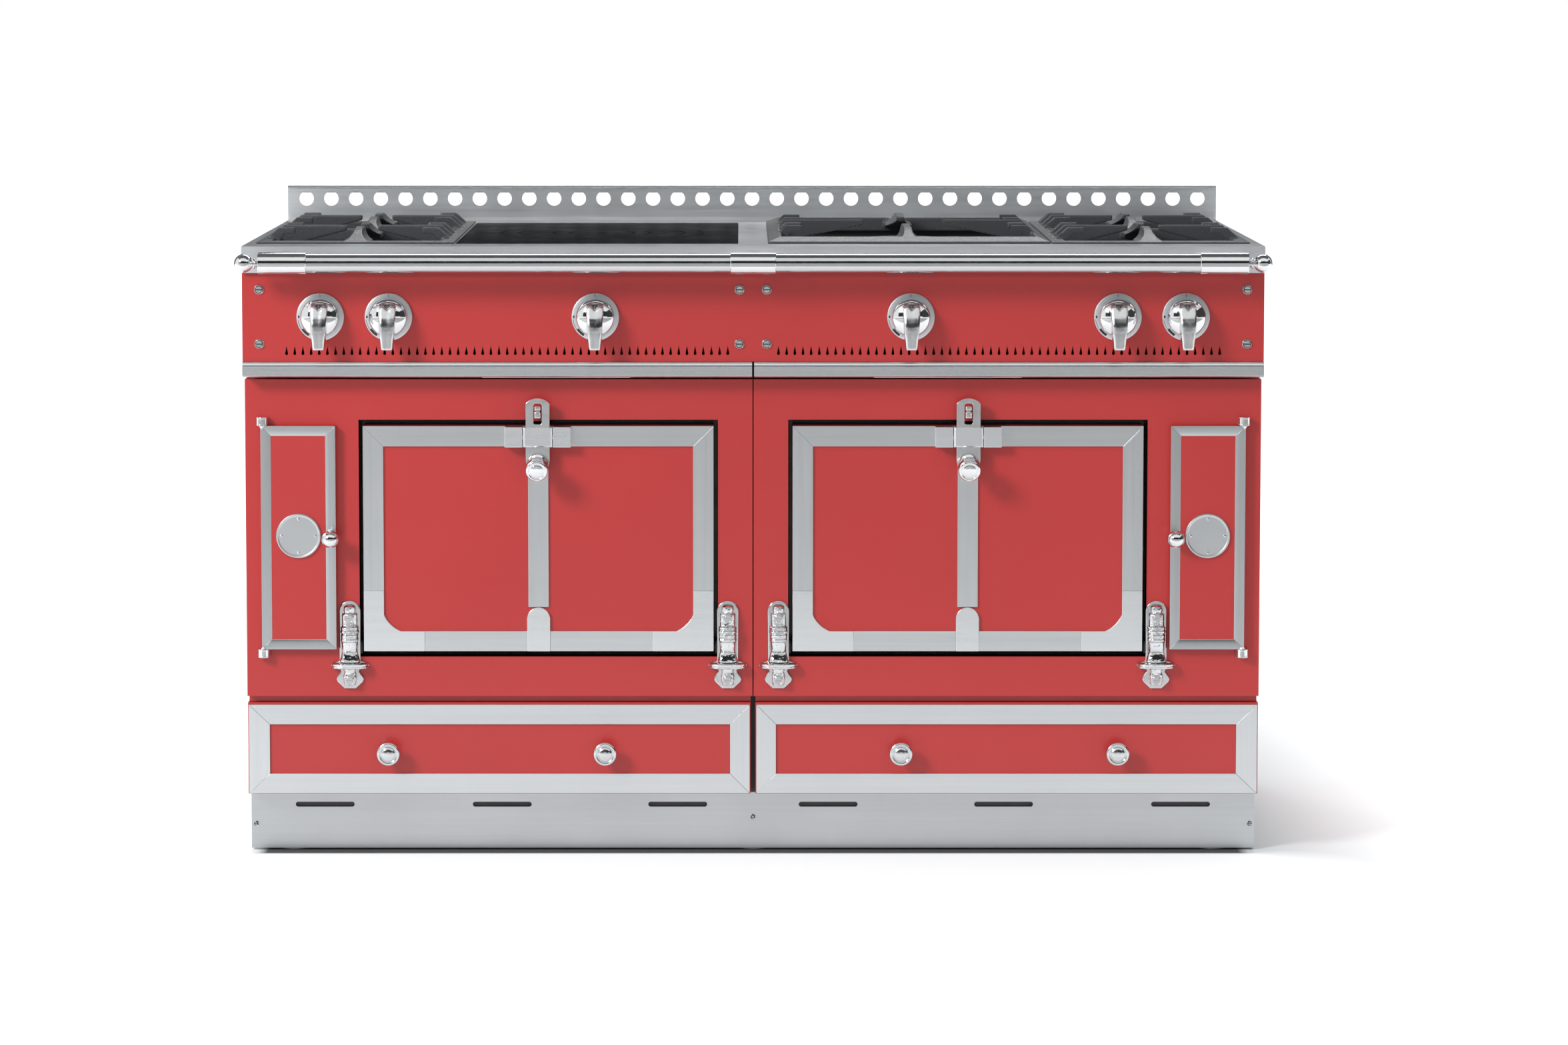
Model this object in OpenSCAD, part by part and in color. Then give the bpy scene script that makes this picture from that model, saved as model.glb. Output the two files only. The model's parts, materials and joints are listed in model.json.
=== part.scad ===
// Free-standing range cooker with two ovens, a steel hob, a towel rail and two drawers.
// The body stands on the floor at Z 0 and its front faces -Y.
// The origin is the middle of the bounding box, at floor level.

/* [Body] */
// Width of the body
body_w = 1500; // [1496:2:1600]
// Depth of the body, from the hob's front edge to the back of the backguard
body_d = 700; // [680:5:760]
// Thickness of the sheet steel
sheet = 2; // [1.5:0.1:2.5]
// Gap that keeps separate pieces clear of each other
clear = 0.3; // [0.2:0.05:0.4]

/* [Front heights] */
// Height of the hob's front fascia
fascia_h = 39; // [36:1:44]
// Height of the control panel
panel_h = 131; // [129:1:140]
// Height of the moulding under the control panel
mould_h = 23; // [20:1:26]
// Shadow gap under the moulding
mould_gap = 5.5; // [3:0.5:8]
// Height of the two oven fronts
front_h = 472; // [468:1:480]
// Height of the recessed band above the drawers
recess_h = 10.5; // [8:0.5:14]
// Height of the drawer fronts
drawer_h = 137; // [130:1:142]
// Gap between the drawers and the plinth
drawer_gap = 3; // [2:0.5:5]
// Height of the plinth
plinth_h = 86; // [80:1:116]
// Gap between the plinth and the floor
plinth_clear = 3; // [2:0.5:8]

/* [Front set-backs] */
// How far the control panel stands behind the hob's edge
panel_set = 8; // [6:1:12]
// How far the moulding stands behind the hob's edge
mould_set = 2; // [1:0.5:6]
// How far the oven fronts stand behind the hob's edge
front_set = 34; // [32:1:38]
// How far the drawer frames stand behind the hob's edge
drawer_set = 37; // [35:1:40]
// How far the plinth stands behind the hob's edge
plinth_set = 77; // [72:1:90]

/* [Hob zones] */
// Width of each outer grate
outer_zone_w = 294; // [286:2:300]
// Steel margin outside the outer grates
zone_margin = 15; // [14:1:20]
// Width of the steel strip between the two inner zones
strip_w = 44; // [36:2:60]
// Steel in front of the zones
zone_front = 62; // [56:1:70]
// Front-to-back length of the zones
zone_len = 549; // [530:1:555]
// Depth of the burner wells
well_depth = 30; // [26:1:34]
// Thickness of the cast hot plate
hot_plate_t = 16; // [12:1:20]
// Diameter of the loose disc in the hot plate
lid_d = 200; // [160:5:220]

/* [Grates] */
// Height of the pan rests above the hob
rest_h = 20; // [16:1:26]
// Thickness of the cast fingers
finger_t = 10; // [8:0.5:12]
// Gap between a double grate's fingers and its burner's axis
outer_tip_gap = 24; // [20:1:32]
// Gap between the large grate's fingers and its burner's axis
large_tip_gap = 62; // [54:1:74]
// Rise of the large grate's sloped rim
large_rise = 7; // [4:1:9]

/* [Burners] */
// Diameter of the small burner heads
small_burner_d = 92; // [80:1:100]
// Diameter of the large burner head
large_burner_d = 138; // [120:1:150]
// Diameter of the gas pipes
gas_pipe_d = 12; // [10:0.5:14]
// Diameter of the gas manifold
manifold_d = 22; // [20:1:26]
// Outer diameter of the gas inlet's thread
inlet_d = 20.96; // [20:0.01:21.5]
// Free length of the gas inlet
inlet_len = 20; // [14:1:22]

/* [Backguard] */
// Height of the backguard above the hob
guard_h = 56; // [50:1:70]
// Depth of the backguard's top flange
guard_d = 16; // [12:1:22]
// Height of the lip at the back of that flange
guard_lip = 12; // [8:1:16]
// Diameter of the holes in the backguard
guard_hole_d = 23.4; // [18:0.2:26]
// Distance from hole to hole
guard_pitch = 40; // [36:1:46]

/* [Towel rail] */
// Diameter of the rail
rail_d = 28; // [25:0.5:31]
// Diameter of the sleeves over the rail
sleeve_d = 32; // [31.5:0.5:36]
// Distance from the hob's edge to the rail's axis
rail_out = 45; // [42:1:52]
// Depth of the rail's axis under the hob's surface
rail_drop = 22; // [19:1:24]
// Length of the end sleeves
sleeve_len = 70; // [60:1:80]
// Length of the middle sleeve
mid_sleeve_len = 66; // [50:1:80]
// Diameter of the end balls
ball_d = 27; // [22:1:28]
// How far the end balls reach past the body
ball_reach = 5; // [3:0.5:10]

/* [Control knobs] */
// Diameter of the knob's dome
knob_d = 55; // [50:1:58]
// Diameter of the ring behind a knob
bezel_d = 70; // [64:1:76]
// Thickness of that ring
bezel_t = 5.5; // [4:0.5:6.5]
// How far the knob stands out of the panel
knob_out = 45; // [40:1:48]
// Length of the lever below the knob's axis
lever_drop = 46; // [40:1:47]
// Distance from the body's side to the outer knob
knob_edge = 115; // [108:1:120]
// Distance between the two outer knobs
knob_pitch = 100; // [97:1:110]
// Depth of the knobs' axes under the top of the panel
knob_drop = 65; // [62:1:68]
// Diameter of the valve spindles
spindle_d = 8; // [6:0.5:10]
// Travel when a knob is pushed in
push_travel = 3; // [2:0.5:3.5]

/* [Vents and screws] */
// Width of a vent slot
vent_w = 4.4; // [3:0.2:6]
// Height of a vent slot
vent_h = 13.5; // [10:0.5:16]
// Distance from slot to slot
vent_pitch = 12; // [10:0.5:14]
// Diameter of the cup washers
washer_d = 15.6; // [13:0.2:18]
// Distance from the panel's ends to its screws
screw_edge = 25; // [20:1:30]

/* [Oven doors] */
// Distance from the middle of the cooker to an oven door
door_mid = 58.5; // [58:0.5:66]
// Height of the oven front above an oven door
door_head = 69; // [66:1:80]
// Height of the door's lower edge above the oven front's lower edge
door_lift = 68; // [66:1:78]
// Thickness of an oven door
door_t = 45; // [40:1:50]
// How far the door stands proud of the oven front
door_proud = 6; // [4:0.5:7]
// Gap round the door at its sides
door_side_gap = 6.5; // [6:0.5:9]
// Gap round the door at its top and bottom
door_end_gap = 9; // [9:0.5:12]
// Distance from the oven door to the small side door
door_to_side = 40; // [39:0.5:44]
// Width of the steel bands
band_w = 30; // [26:1:34]
// Thickness of the steel bands
band_t = 3; // [2:0.5:3.5]
// Side of the corner gussets
gusset = 90; // [80:1:100]

/* [Latches] */
// Width of the latch plate
latch_w = 35.2; // [32:0.2:38]
// Thickness of the latch plate
latch_t = 4; // [3:0.5:5]
// Width of the slot in the latch plate
slot_w = 12.2; // [11:0.2:14]
// Diameter of the latch knob
latch_knob_d = 33; // [28:1:36]
// How far the latch knob stands out of the door
latch_knob_out = 56; // [48:1:58]
// Diameter of the latch's pivot pin
latch_pin_d = 8; // [6:0.5:9]

/* [Oven hinges] */
// Width of a hinge casting
hinge_w = 32; // [28:1:34]
// Height of a hinge casting
hinge_h = 131; // [124:1:136]
// How far a hinge casting stands out of the oven front
hinge_out = 22; // [18:1:26]
// Diameter of the oven doors' pivot pins
door_pin_d = 10; // [8:0.5:10]

/* [Oven cavities] */
// Distance from an oven cavity to the side edges of its door
cavity_side = 23.75; // [19.25:0.25:39]
// Distance from an oven cavity's roof to the upper edge of its door
cavity_head = 7; // [5:1:25]
// Depth of an oven cavity
cavity_d = 440; // [400:5:470]
// Rise of the cavity's vaulted roof
vault_rise = 46; // [30:1:56]
// Diameter of the oven rack's rim wire
rack_wire = 6; // [5:0.5:8]

/* [Side doors] */
// Width of a side door
side_w = 110; // [106:1:114]
// Height of the oven front above a side door
side_head = 68; // [64:1:80]
// Height of the side door's lower edge above the oven front's lower edge
side_lift = 72; // [68:1:84]
// Distance from the body's side to the side door
side_margin = 24; // [24:1:27]
// Thickness of a side door
side_t = 13; // [11:0.5:14]
// Width of the side door's steel band
side_band_w = 15; // [12:1:18]
// Diameter of the side door's ball knob
side_ball_d = 26; // [22:1:28]

/* [Drawers] */
// Width of the centre pillar between the drawers
pillar_w = 6; // [4:0.5:8]
// Width of the upright bands on a drawer front
drawer_band_side = 31; // [26:1:34]
// Height of the level bands on a drawer front
drawer_band_end = 29.5; // [26:0.5:34]
// Depth of a drawer box
drawer_d = 560; // [500:5:580]
// Travel of a drawer
drawer_travel = 400; // [300:10:420]
// Distance between the two knobs of a drawer
drawer_knob_span = 321; // [280:1:360]
// Diameter of a drawer knob
drawer_knob_d = 34.5; // [30:0.5:38]

/* [Wall fixing] */
// Distance between the two fixing holes in the back panel
wall_hole_span = 1000; // [900:10:1200]
// Diameter of those holes
wall_hole_d = 7; // [5:0.5:9]

/* [Feet and plinth] */
// Diameter of the levelling feet
foot_d = 50; // [40:1:60]
// Length of the slots in the plinth
plinth_slot_l = 88; // [70:1:100]
// Height of the slots in the plinth
plinth_slot_h = 7.4; // [6:0.2:9]

/* [Hidden] */
$fn = 48;

// Reach of the through cuts past a face
cut = 1;
half_w = body_w / 2;

// Planes from front to back
rail_reach = rail_out + sleeve_d / 2;
y_hob = (rail_reach - body_d) / 2;
y_back = y_hob + body_d;
y_panel = y_hob + panel_set;
y_mould = y_hob + mould_set;
y_front = y_hob + front_set;
y_drawer = y_hob + drawer_set;
y_plinth = y_hob + plinth_set;
y_door = y_front - door_proud;
y_door_back = y_door + door_t;
y_liner = y_door_back + 2;
frame_set = 28;
y_frame = y_front + frame_set;
y_casing = y_frame - 1.5;
back_inset = 22;
y_back_panel = y_back - back_inset;
y_rail = y_hob - rail_out;
y_guard = y_back - guard_d;

// Heights from the floor up
z_plinth_top = plinth_clear + plinth_h;
z_drawer = z_plinth_top + drawer_gap;
z_drawer_top = z_drawer + drawer_h;
z_front = z_drawer_top + recess_h;
z_front_top = z_front + front_h;
z_mould = z_front_top + mould_gap;
z_panel = z_mould + mould_h;
z_fascia = z_panel + panel_h;
hob_h = z_fascia + fascia_h;
z_rail = hob_h - rail_drop;
z_knob = z_fascia - knob_drop;
z_door = z_front + door_lift;
z_door_top = z_front_top - door_head;
z_side = z_front + side_lift;
z_side_top = z_front_top - side_head;

// Hob zones, on the right half
zone_out = half_w - zone_margin;
zone_mid = zone_out - outer_zone_w;
zone_in = strip_w / 2;
y_zone = y_hob + zone_front;
y_zone_back = y_zone + zone_len;
y_zone_mid = (y_zone + y_zone_back) / 2;
outer_x = (zone_out + zone_mid) / 2;
inner_x = (zone_mid + zone_in) / 2;
burner_ys = [y_zone + zone_len / 4, y_zone_back - zone_len / 4];
z_well = hob_h - well_depth;
rim_edge = 2.6;
rim_w = 18;
rim_seat = 11;
skirt_t = 9;
skirt_drop = 12;
skirt_clear = 1;
well_r = 12;
skirt_r = 11;
ledge_w = 12;
plate_gap = 0.6;
bay_drop = 40;

// Controls, from left to right
knob_x = [
    -(half_w - knob_edge), -(half_w - knob_edge - knob_pitch), -inner_x,
    inner_x, half_w - knob_edge - knob_pitch, half_w - knob_edge
];
knob_base = bezel_t + push_travel + 1.5;
dome_h = 20;
valve_y = y_panel + 12;
valve_len = 30;
valve_d = 30;
y_manifold = y_panel + 34;
z_manifold = z_knob - 34;
z_pipe = z_well - 50;
inlet_x = half_w - 48;

// Oven door, on the right half
side_out = half_w - side_margin;
side_in = side_out - side_w;
door_out = side_in - door_to_side;
door_in = door_mid;
door_x = (door_in + door_out) / 2;
side_x = (side_in + side_out) / 2;
hinge_gap = (door_to_side - hinge_w) / 2 + 1;
hinge_xs = [door_in - hinge_gap - hinge_w / 2, door_out + hinge_gap + hinge_w / 2];
door_axis_y = y_door + 12;
door_axis_z = z_door + 5;
door_skin = 2;
bush_depth = 14;
pin_play = 0.05;
z_hinge = z_front + 12;
z_hinge_top = z_hinge + hinge_h;
tongue_t = 3.5;

// Latch
latch_axis_z = z_door_top - band_w / 2;
latch_axis_y = y_door - 10;
latch_hub_w = 44;
latch_hub_d = 14;
latch_top = z_door_top + 42.6;
latch_tail = latch_axis_z - 52;
latch_knob_z = latch_axis_z - 47;
latch_block_w = 26.5;
slot_lo = z_door_top + 4;
slot_hi = z_door_top + 35;
keeper_w = 9.5;
keeper_lo = slot_lo + 9;
keeper_hi = slot_hi - 4;

// Oven cavity
cavity_w = door_out - door_in - 2 * cavity_side;
cavity_floor = z_door + 10;
cavity_top = z_door_top - cavity_head;
cavity_wall = cavity_top - vault_rise;
cavity_y = y_liner + sheet;
rack_z = cavity_floor + 52;
rack_rib = 7;
skid_t = 3;
z_deck = z_front + 2.5;
deck_t = 2.5;

// Side door hinge
side_axis_x = side_out - 2;
side_axis_y = y_front - 7;
side_lug_d = 18;
side_lug_h = 12.5;
side_pin_d = 6;
niche_wall = 1.5;
niche_in = side_in + 8;
niche_out = side_out - 8;
niche_z = [z_side + 8, z_side_top - 8];
niche_depth = 112;
thermo_z = (z_side + z_side_top) / 2;
thermo_d = 44;

// Drawer, on the right half
drawer_in = pillar_w / 2 + 0.5;
drawer_out = half_w;
drawer_x = (drawer_in + drawer_out) / 2 + 3;
drawer_panel_t = 20;
y_drawer_face = y_drawer + 3;
y_drawer_box = y_drawer_face + drawer_panel_t;
box_in = 22;
box_out = half_w - 20;
box_wall = 1.5;
box_z = [z_drawer + 8, z_drawer_top - 17];
slide_w = 6;
slide_h = 10;
slide_z = z_drawer + 62;
runner_t = 2;

// Frame
post_w = 10;
post_d = 30;
post_t = 3;
centre_post = 7;
frame_z = 40;
frame_leg = 36;
frame_t = 4;
y_frame_low = y_plinth + 5;
foot_stem_d = 16;
foot_inset = 62;

// Box between pairs of limits along X, Y and Z
module span(x, y, z) {
    translate([x[0], y[0], z[0]])
        cube([x[1] - x[0], y[1] - y[0], z[1] - z[0]]);
}

// A child and its mirror image across the middle of the cooker
module both_sides() {
    children();
    mirror([1, 0, 0]) children();
}

// A child made for the right half, put on the named half
module on_side(side) {
    if (side == "left") mirror([1, 0, 0]) children();
    else children();
}

// Extrudes an outline drawn in X and Z from y towards the back
module front_plate(y, depth) {
    translate([0, y + depth, 0])
        rotate([90, 0, 0])
            linear_extrude(depth) children();
}

// Extrudes an outline drawn in Y and Z from x towards the right
module side_plate(x, width) {
    translate([x, 0, 0])
        rotate([90, 0, 90])
            linear_extrude(width) children();
}

// Points a child's +Z at the viewer, -Y
module to_front(pos) {
    translate(pos) rotate([90, 0, 0]) children();
}

// Cylinder along X, centred on pos
module rod_x(pos, d, len) {
    translate(pos) rotate([0, 90, 0]) cylinder(d = d, h = len, center = true);
}

// Cylinder along Y from pos towards the back
module rod_y(pos, d, len) {
    translate(pos) rotate([-90, 0, 0]) cylinder(d = d, h = len);
}

// Rectangle with round corners
module round_rect(x, y, r) {
    translate([x[0] + r, y[0]]) square([x[1] - x[0] - 2 * r, y[1] - y[0]]);
    translate([x[0], y[0] + r]) square([x[1] - x[0], y[1] - y[0] - 2 * r]);
    for (cx = [x[0] + r, x[1] - r], cy = [y[0] + r, y[1] - r])
        translate([cx, cy]) circle(r = r);
}

// Plain rectangle between limits
module rect(x, y) {
    translate([x[0], y[0]]) square([x[1] - x[0], y[1] - y[0]]);
}

// Slotted screw head in a cup washer, pointing at the viewer
module cup_screw(pos, washer, shank_len) {
    head = washer * 0.7;
    to_front(pos) {
        difference() {
            rotate_extrude()
                polygon([[0, 0], [washer / 2, 0], [washer / 2 - 0.8, 1.8], [head / 2 + 0.4, 2.6],
                    [head / 2, 1.6], [head / 2 - 1, 3], [0, 3.6]]);
            translate([-head, -0.8, 2.4]) cube([2 * head, 1.6, 4]);
        }
        translate([0, 0, -shank_len]) cylinder(d = 5, h = shank_len);
    }
}

module base_frame() {
    x_rail = half_w - 5;
    x_post = half_w - sheet;
    y_low = [y_frame_low, y_back_panel - 30];
    z_low = z_plinth_top + 1;
    top = z_fascia - sheet;
    color("dimgray") {
        difference() {
            union() {
                // Bottom angles, front and back, with their feet plates
                span([-x_rail, x_rail], [y_low[0], y_low[0] + frame_t], [frame_z, frame_z + frame_leg]);
                span([-x_rail, x_rail], [y_low[0], y_low[0] + frame_leg], [frame_z, frame_z + frame_t]);
                span([-x_rail, x_rail], [y_low[1] - frame_t, y_low[1]], [frame_z, frame_z + frame_leg]);
                span([-x_rail, x_rail], [y_low[1] - frame_leg, y_low[1]], [frame_z, frame_z + frame_t]);
                both_sides() {
                    span([x_rail - frame_t, x_rail], y_low, [frame_z, frame_z + frame_leg]);
                    span([x_rail - frame_leg, x_rail], y_low, [frame_z, frame_z + frame_t]);
                    // Corner posts, which stand behind the plinth at their feet
                    span([x_post - post_t, x_post], [y_frame + 1, y_frame + post_d], [z_low, top]);
                    span([x_post - post_t, x_post], [y_frame_low, y_frame + post_d], [frame_z, z_low]);
                    span([x_post - post_w, x_post], [y_frame + 0.5, y_frame + post_t], [z_low, top]);
                    span([x_post - post_t, x_post], [y_low[1] - frame_t, y_back_panel], [frame_z, top]);
                    span([x_post - post_w, x_post], [y_back_panel - post_t, y_back_panel],
                        [frame_z, top]);
                    // Top side rails
                    span([x_post - post_t, x_post], [y_frame + 1, y_back_panel], [top - 25, top]);
                }
                // Centre posts and the beam between their feet
                span([-centre_post, centre_post], [y_frame, y_frame + post_d], [z_low, top - 25]);
                span([-centre_post, centre_post], [y_back_panel - post_d, y_back_panel],
                    [frame_z, top]);
                span([-centre_post, centre_post], [y_frame_low, y_back_panel], [frame_z, z_low + 10]);
                // Deck under the ovens
                span([-x_post, x_post], [y_frame, y_back_panel], [z_deck, z_deck + deck_t]);
                span([-x_post, x_post], [y_frame, y_frame + post_t], [z_deck, z_deck + 22]);
                // Top rails, front and back
                span([-x_post, x_post], [y_frame, y_frame + post_t], [top - 25, top]);
                span([-x_post, x_post], [y_back_panel - post_t, y_back_panel], [top - 25, top]);
            }
            // Hollow of the centre posts and beam
            span([-centre_post + post_t, centre_post - post_t], [y_frame_low + post_t, y_back_panel - post_t],
                [frame_z - cut, z_low + 10 - frame_t]);
            for (x = [-1, 0, 1], y = [0, 1])
                translate([x * (half_w - foot_inset), foot_y(y), frame_z - cut])
                    cylinder(d = foot_stem_d + 1, h = frame_leg * 2);
        }
    }
}

function foot_y(i) = i == 0 ? y_frame_low + frame_leg / 2 + 6 : y_back_panel - frame_leg - 18;

module leveling_feet() {
    nut_z = frame_z - 10;
    color("gray")
        for (x = [-1, 0, 1], y = [0, 1])
            translate([x * (half_w - foot_inset), foot_y(y), 0]) {
                rotate_extrude()
                    polygon([[0, 0], [foot_d / 2, 0], [foot_d / 2, 4], [foot_d / 2 - 4, 8],
                        [14, 12], [foot_stem_d / 2, 14], [foot_stem_d / 2, nut_z], [0, nut_z]]);
                translate([0, 0, nut_z]) cylinder(d = 26, h = 10, $fn = 6);
                translate([0, 0, nut_z]) cylinder(d = foot_stem_d, h = 26);
            }
}

module plinth() {
    slot_z = z_plinth_top - 20;
    slot_xs = [0.15 * half_w, half_w / 2, 0.853 * half_w];
    color([0.70, 0.71, 0.72]) {
        difference() {
            span([-half_w, half_w], [y_plinth, y_plinth + sheet], [plinth_clear, z_plinth_top]);
            for (s = [-1, 1], x = slot_xs)
                front_plate(y_plinth - cut, sheet + 2 * cut)
                    translate([s * x, slot_z]) {
                        square([plinth_slot_l - plinth_slot_h, plinth_slot_h], center = true);
                        for (e = [-1, 1])
                            translate([e * (plinth_slot_l - plinth_slot_h) / 2, 0])
                                circle(d = plinth_slot_h);
                    }
            for (p = plinth_screws())
                to_front([p[0], y_plinth + sheet + cut, p[1]]) cylinder(d = 5.6, h = sheet + 2 * cut);
        }
        // Side skirts
        both_sides()
            span([half_w - sheet, half_w], [y_plinth + sheet, y_back - 2], [plinth_clear, z_plinth_top]);
        // Fold that meets the frame
        span([-half_w + sheet, half_w - sheet], [y_plinth + sheet, y_frame_low],
            [plinth_clear + 60, plinth_clear + 60 + sheet]);
    }
}

function plinth_screws() = [[-half_w + 7, 40], [0, 50], [half_w - 7, 40]];

module casing_panels() {
    top = z_fascia;
    color([0.70, 0.24, 0.25]) {
        both_sides() {
            span([half_w - sheet, half_w], [y_casing, y_back], [z_plinth_top + 0.5, top]);
            span([half_w - 15, half_w - sheet], [y_frame + 1, y_back_panel], [top - sheet, top]);
        }
        difference() {
            span([-half_w + sheet, half_w - sheet], [y_back_panel, y_back_panel + sheet],
                [z_plinth_top + 0.5, top]);
            rod_y([inlet_x, y_back_panel - cut, z_manifold], manifold_d + 4, sheet + 2 * cut);
            for (s = [-1, 1])
                rod_y([s * wall_hole_span / 2, y_back_panel - cut, z_manifold], wall_hole_d, sheet + 2 * cut);
            for (s = [-1, 1], i = [0:7])
                front_plate(y_back_panel - cut, sheet + 2 * cut)
                    rect([s * door_x - 120, s * door_x + 120],
                        [z_front_top - 30 - i * 16, z_front_top - 24 - i * 16]);
        }
    }
}

module oven_front(side) {
    lo = z_front;
    hi = z_front_top;
    plate = 2.5;
    color([0.77, 0.28, 0.28])
        on_side(side) {
            front_plate(y_front, plate)
                difference() {
                    rect([0.75, half_w], [lo, hi]);
                    rect([door_in - door_side_gap, door_out + door_side_gap],
                        [z_door - door_end_gap, z_door_top + door_end_gap]);
                    rect([niche_in, niche_out], niche_z);
                }
            // Folded edges
            span([0.75, half_w - plate], [y_front + plate, y_frame], [hi - plate, hi]);
            span([0.75, 0.75 + plate], [y_front + plate, y_frame], [lo, hi]);
            span([half_w - plate, half_w], [y_front + plate, y_casing - 0.5], [lo, hi]);
            // Recessed band above the drawer
            span([0.75, half_w - 2], [y_front + plate, y_front + 16], [lo, lo + plate]);
            span([pillar_w / 2 + 0.5, half_w - 2], [y_front + 14, y_front + 16], [z_drawer_top + 0.5, lo]);
        }
}

module control_panel() {
    plate = 2.5;
    vent_lo = vent_w / 2 + 5 + 30;
    vent_hi = half_w - 55;
    z_vent = z_panel + 9.6;
    color([0.77, 0.28, 0.28]) {
        front_plate(y_panel, plate)
            difference() {
                rect([-half_w, half_w], [z_panel, z_fascia]);
                for (x = knob_x) translate([x, z_knob]) circle(d = 20);
                for (p = panel_screws()) translate(p) circle(d = 5.6);
                for (s = [-1, 1], x = [vent_lo:vent_pitch:vent_hi])
                    translate([s * x, z_vent + vent_w / 2]) {
                        circle(d = vent_w);
                        polygon([[-vent_w * 0.49, 0.4], [vent_w * 0.49, 0.4], [0, vent_h - vent_w / 2]]);
                    }
            }
        span([-half_w, half_w], [y_panel + plate, y_casing - 0.5], [z_fascia - sheet, z_fascia - clear / 10]);
        span([-half_w + 20, half_w - 20], [y_casing - 0.5, y_frame + 4],
            [z_fascia - sheet, z_fascia - clear / 10]);
        span([-half_w, half_w], [y_panel + plate, y_casing - 0.5], [z_panel, z_panel + plate]);
        both_sides()
            span([half_w - plate, half_w], [y_panel + plate, y_casing - 0.5], [z_panel, z_fascia - sheet]);
    }
}

function panel_screws() = [for (s = [-1, 1], x = [20, half_w - screw_edge], z = [z_panel + 26, z_fascia - 25])
    [s * x, z]];

module front_screws() {
    color("gainsboro") {
        for (p = panel_screws())
            cup_screw([p[0], y_panel, p[1]], washer_d, 10);
        for (p = plinth_screws())
            cup_screw([p[0], y_plinth, p[1]], 8, 4);
    }
}

module front_mouldings() {
    bevel = 5;
    wall = 3;
    end_gap = 1.5;
    color([0.66, 0.67, 0.68]) {
        both_sides()
            difference() {
                intersection() {
                    side_plate(end_gap, half_w - end_gap)
                        polygon([[y_mould, z_mould + 1.5], [y_mould + 1.5, z_mould], [y_casing - 0.5, z_mould],
                            [y_casing - 0.5, z_panel - clear / 10], [y_mould + 4, z_panel - clear / 10],
                            [y_mould, z_panel - bevel]]);
                    front_plate(y_mould - cut, front_set + frame_set)
                        union() {
                            round_rect([end_gap, half_w], [z_mould, z_panel], 5);
                            rect([end_gap, half_w], [z_mould + mould_h / 2, z_panel]);
                        }
                }
                span([end_gap + wall, half_w - wall], [y_mould + wall, y_casing + cut],
                    [z_mould + wall, z_panel - wall - 1]);
            }
        // Centre pillar between the drawers
        span([-pillar_w / 2, pillar_w / 2], [y_front + 4, y_frame], [z_drawer - 1, z_front - clear / 10]);
    }
}

// Well under a pan support, cut through the hob's plate
module well_tray(x, y) {
    difference() {
        translate([0, 0, z_well - sheet])
            linear_extrude(well_depth + sheet)
                round_rect([x[0] - sheet, x[1] + sheet], [y[0] - sheet, y[1] + sheet], well_r + sheet);
        translate([0, 0, z_well]) linear_extrude(well_depth + cut) round_rect(x, y, well_r);
    }
}

module hob_top() {
    outer_x_span = [zone_mid + rim_seat, zone_out - rim_seat];
    inner_x_span = [zone_in + rim_seat, zone_mid - rim_seat];
    well_y = [y_zone + rim_seat, y_zone_back - rim_seat];
    bay_x = [-zone_mid + plate_gap, -zone_in];
    bay_y = [y_zone, y_zone_back];
    tray_x = [bay_x[0] + ledge_w, bay_x[1] - ledge_w];
    tray_y = [bay_y[0] + ledge_w, bay_y[1] - ledge_w];
    z_ledge = hob_h - hot_plate_t;
    z_bay = hob_h - hot_plate_t - bay_drop;
    color([0.72, 0.73, 0.73])
        difference() {
            union() {
                difference() {
                    span([-half_w, half_w], [y_hob, y_back], [z_fascia, hob_h]);
                    span([-half_w + sheet, half_w - sheet], [y_hob + sheet, y_back - sheet],
                        [z_fascia + sheet, hob_h - sheet]);
                    span([-half_w + 16, half_w - 16], [y_hob + 40, y_back - 30],
                        [z_fascia - cut, z_fascia + sheet + cut]);
                    translate([0, 0, hob_h - sheet - cut])
                        linear_extrude(sheet + 2 * cut) {
                            round_rect(outer_x_span, well_y, well_r);
                            mirror([1, 0]) round_rect(outer_x_span, well_y, well_r);
                            round_rect(inner_x_span, well_y, well_r);
                        }
                    span(bay_x, bay_y, [hob_h - sheet - cut, hob_h + cut]);
                }
                both_sides() well_tray(outer_x_span, well_y);
                well_tray(inner_x_span, well_y);
                // Bay that carries the hot plate on a ledge
                difference() {
                    union() {
                        span([bay_x[0] - sheet, bay_x[1] + sheet], [bay_y[0] - sheet, bay_y[1] + sheet],
                            [z_ledge - sheet, hob_h]);
                        span([tray_x[0] - sheet, tray_x[1] + sheet], [tray_y[0] - sheet, tray_y[1] + sheet],
                            [z_bay, z_ledge]);
                    }
                    span(bay_x, bay_y, [z_ledge, hob_h + cut]);
                    span(tray_x, tray_y, [z_bay + sheet, hob_h + cut]);
                }
            }
            for (s = [-1, 1], y = burner_ys)
                translate([s * outer_x, y, z_well - 5]) cylinder(d = gas_pipe_d + 22, h = 10);
            translate([inner_x, y_zone_mid, z_well - 5]) cylinder(d = gas_pipe_d + 22, h = 10);
            translate([-inner_x, y_zone_mid, z_bay - 5]) cylinder(d = gas_pipe_d + 22, h = 10);
        }
}

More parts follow.
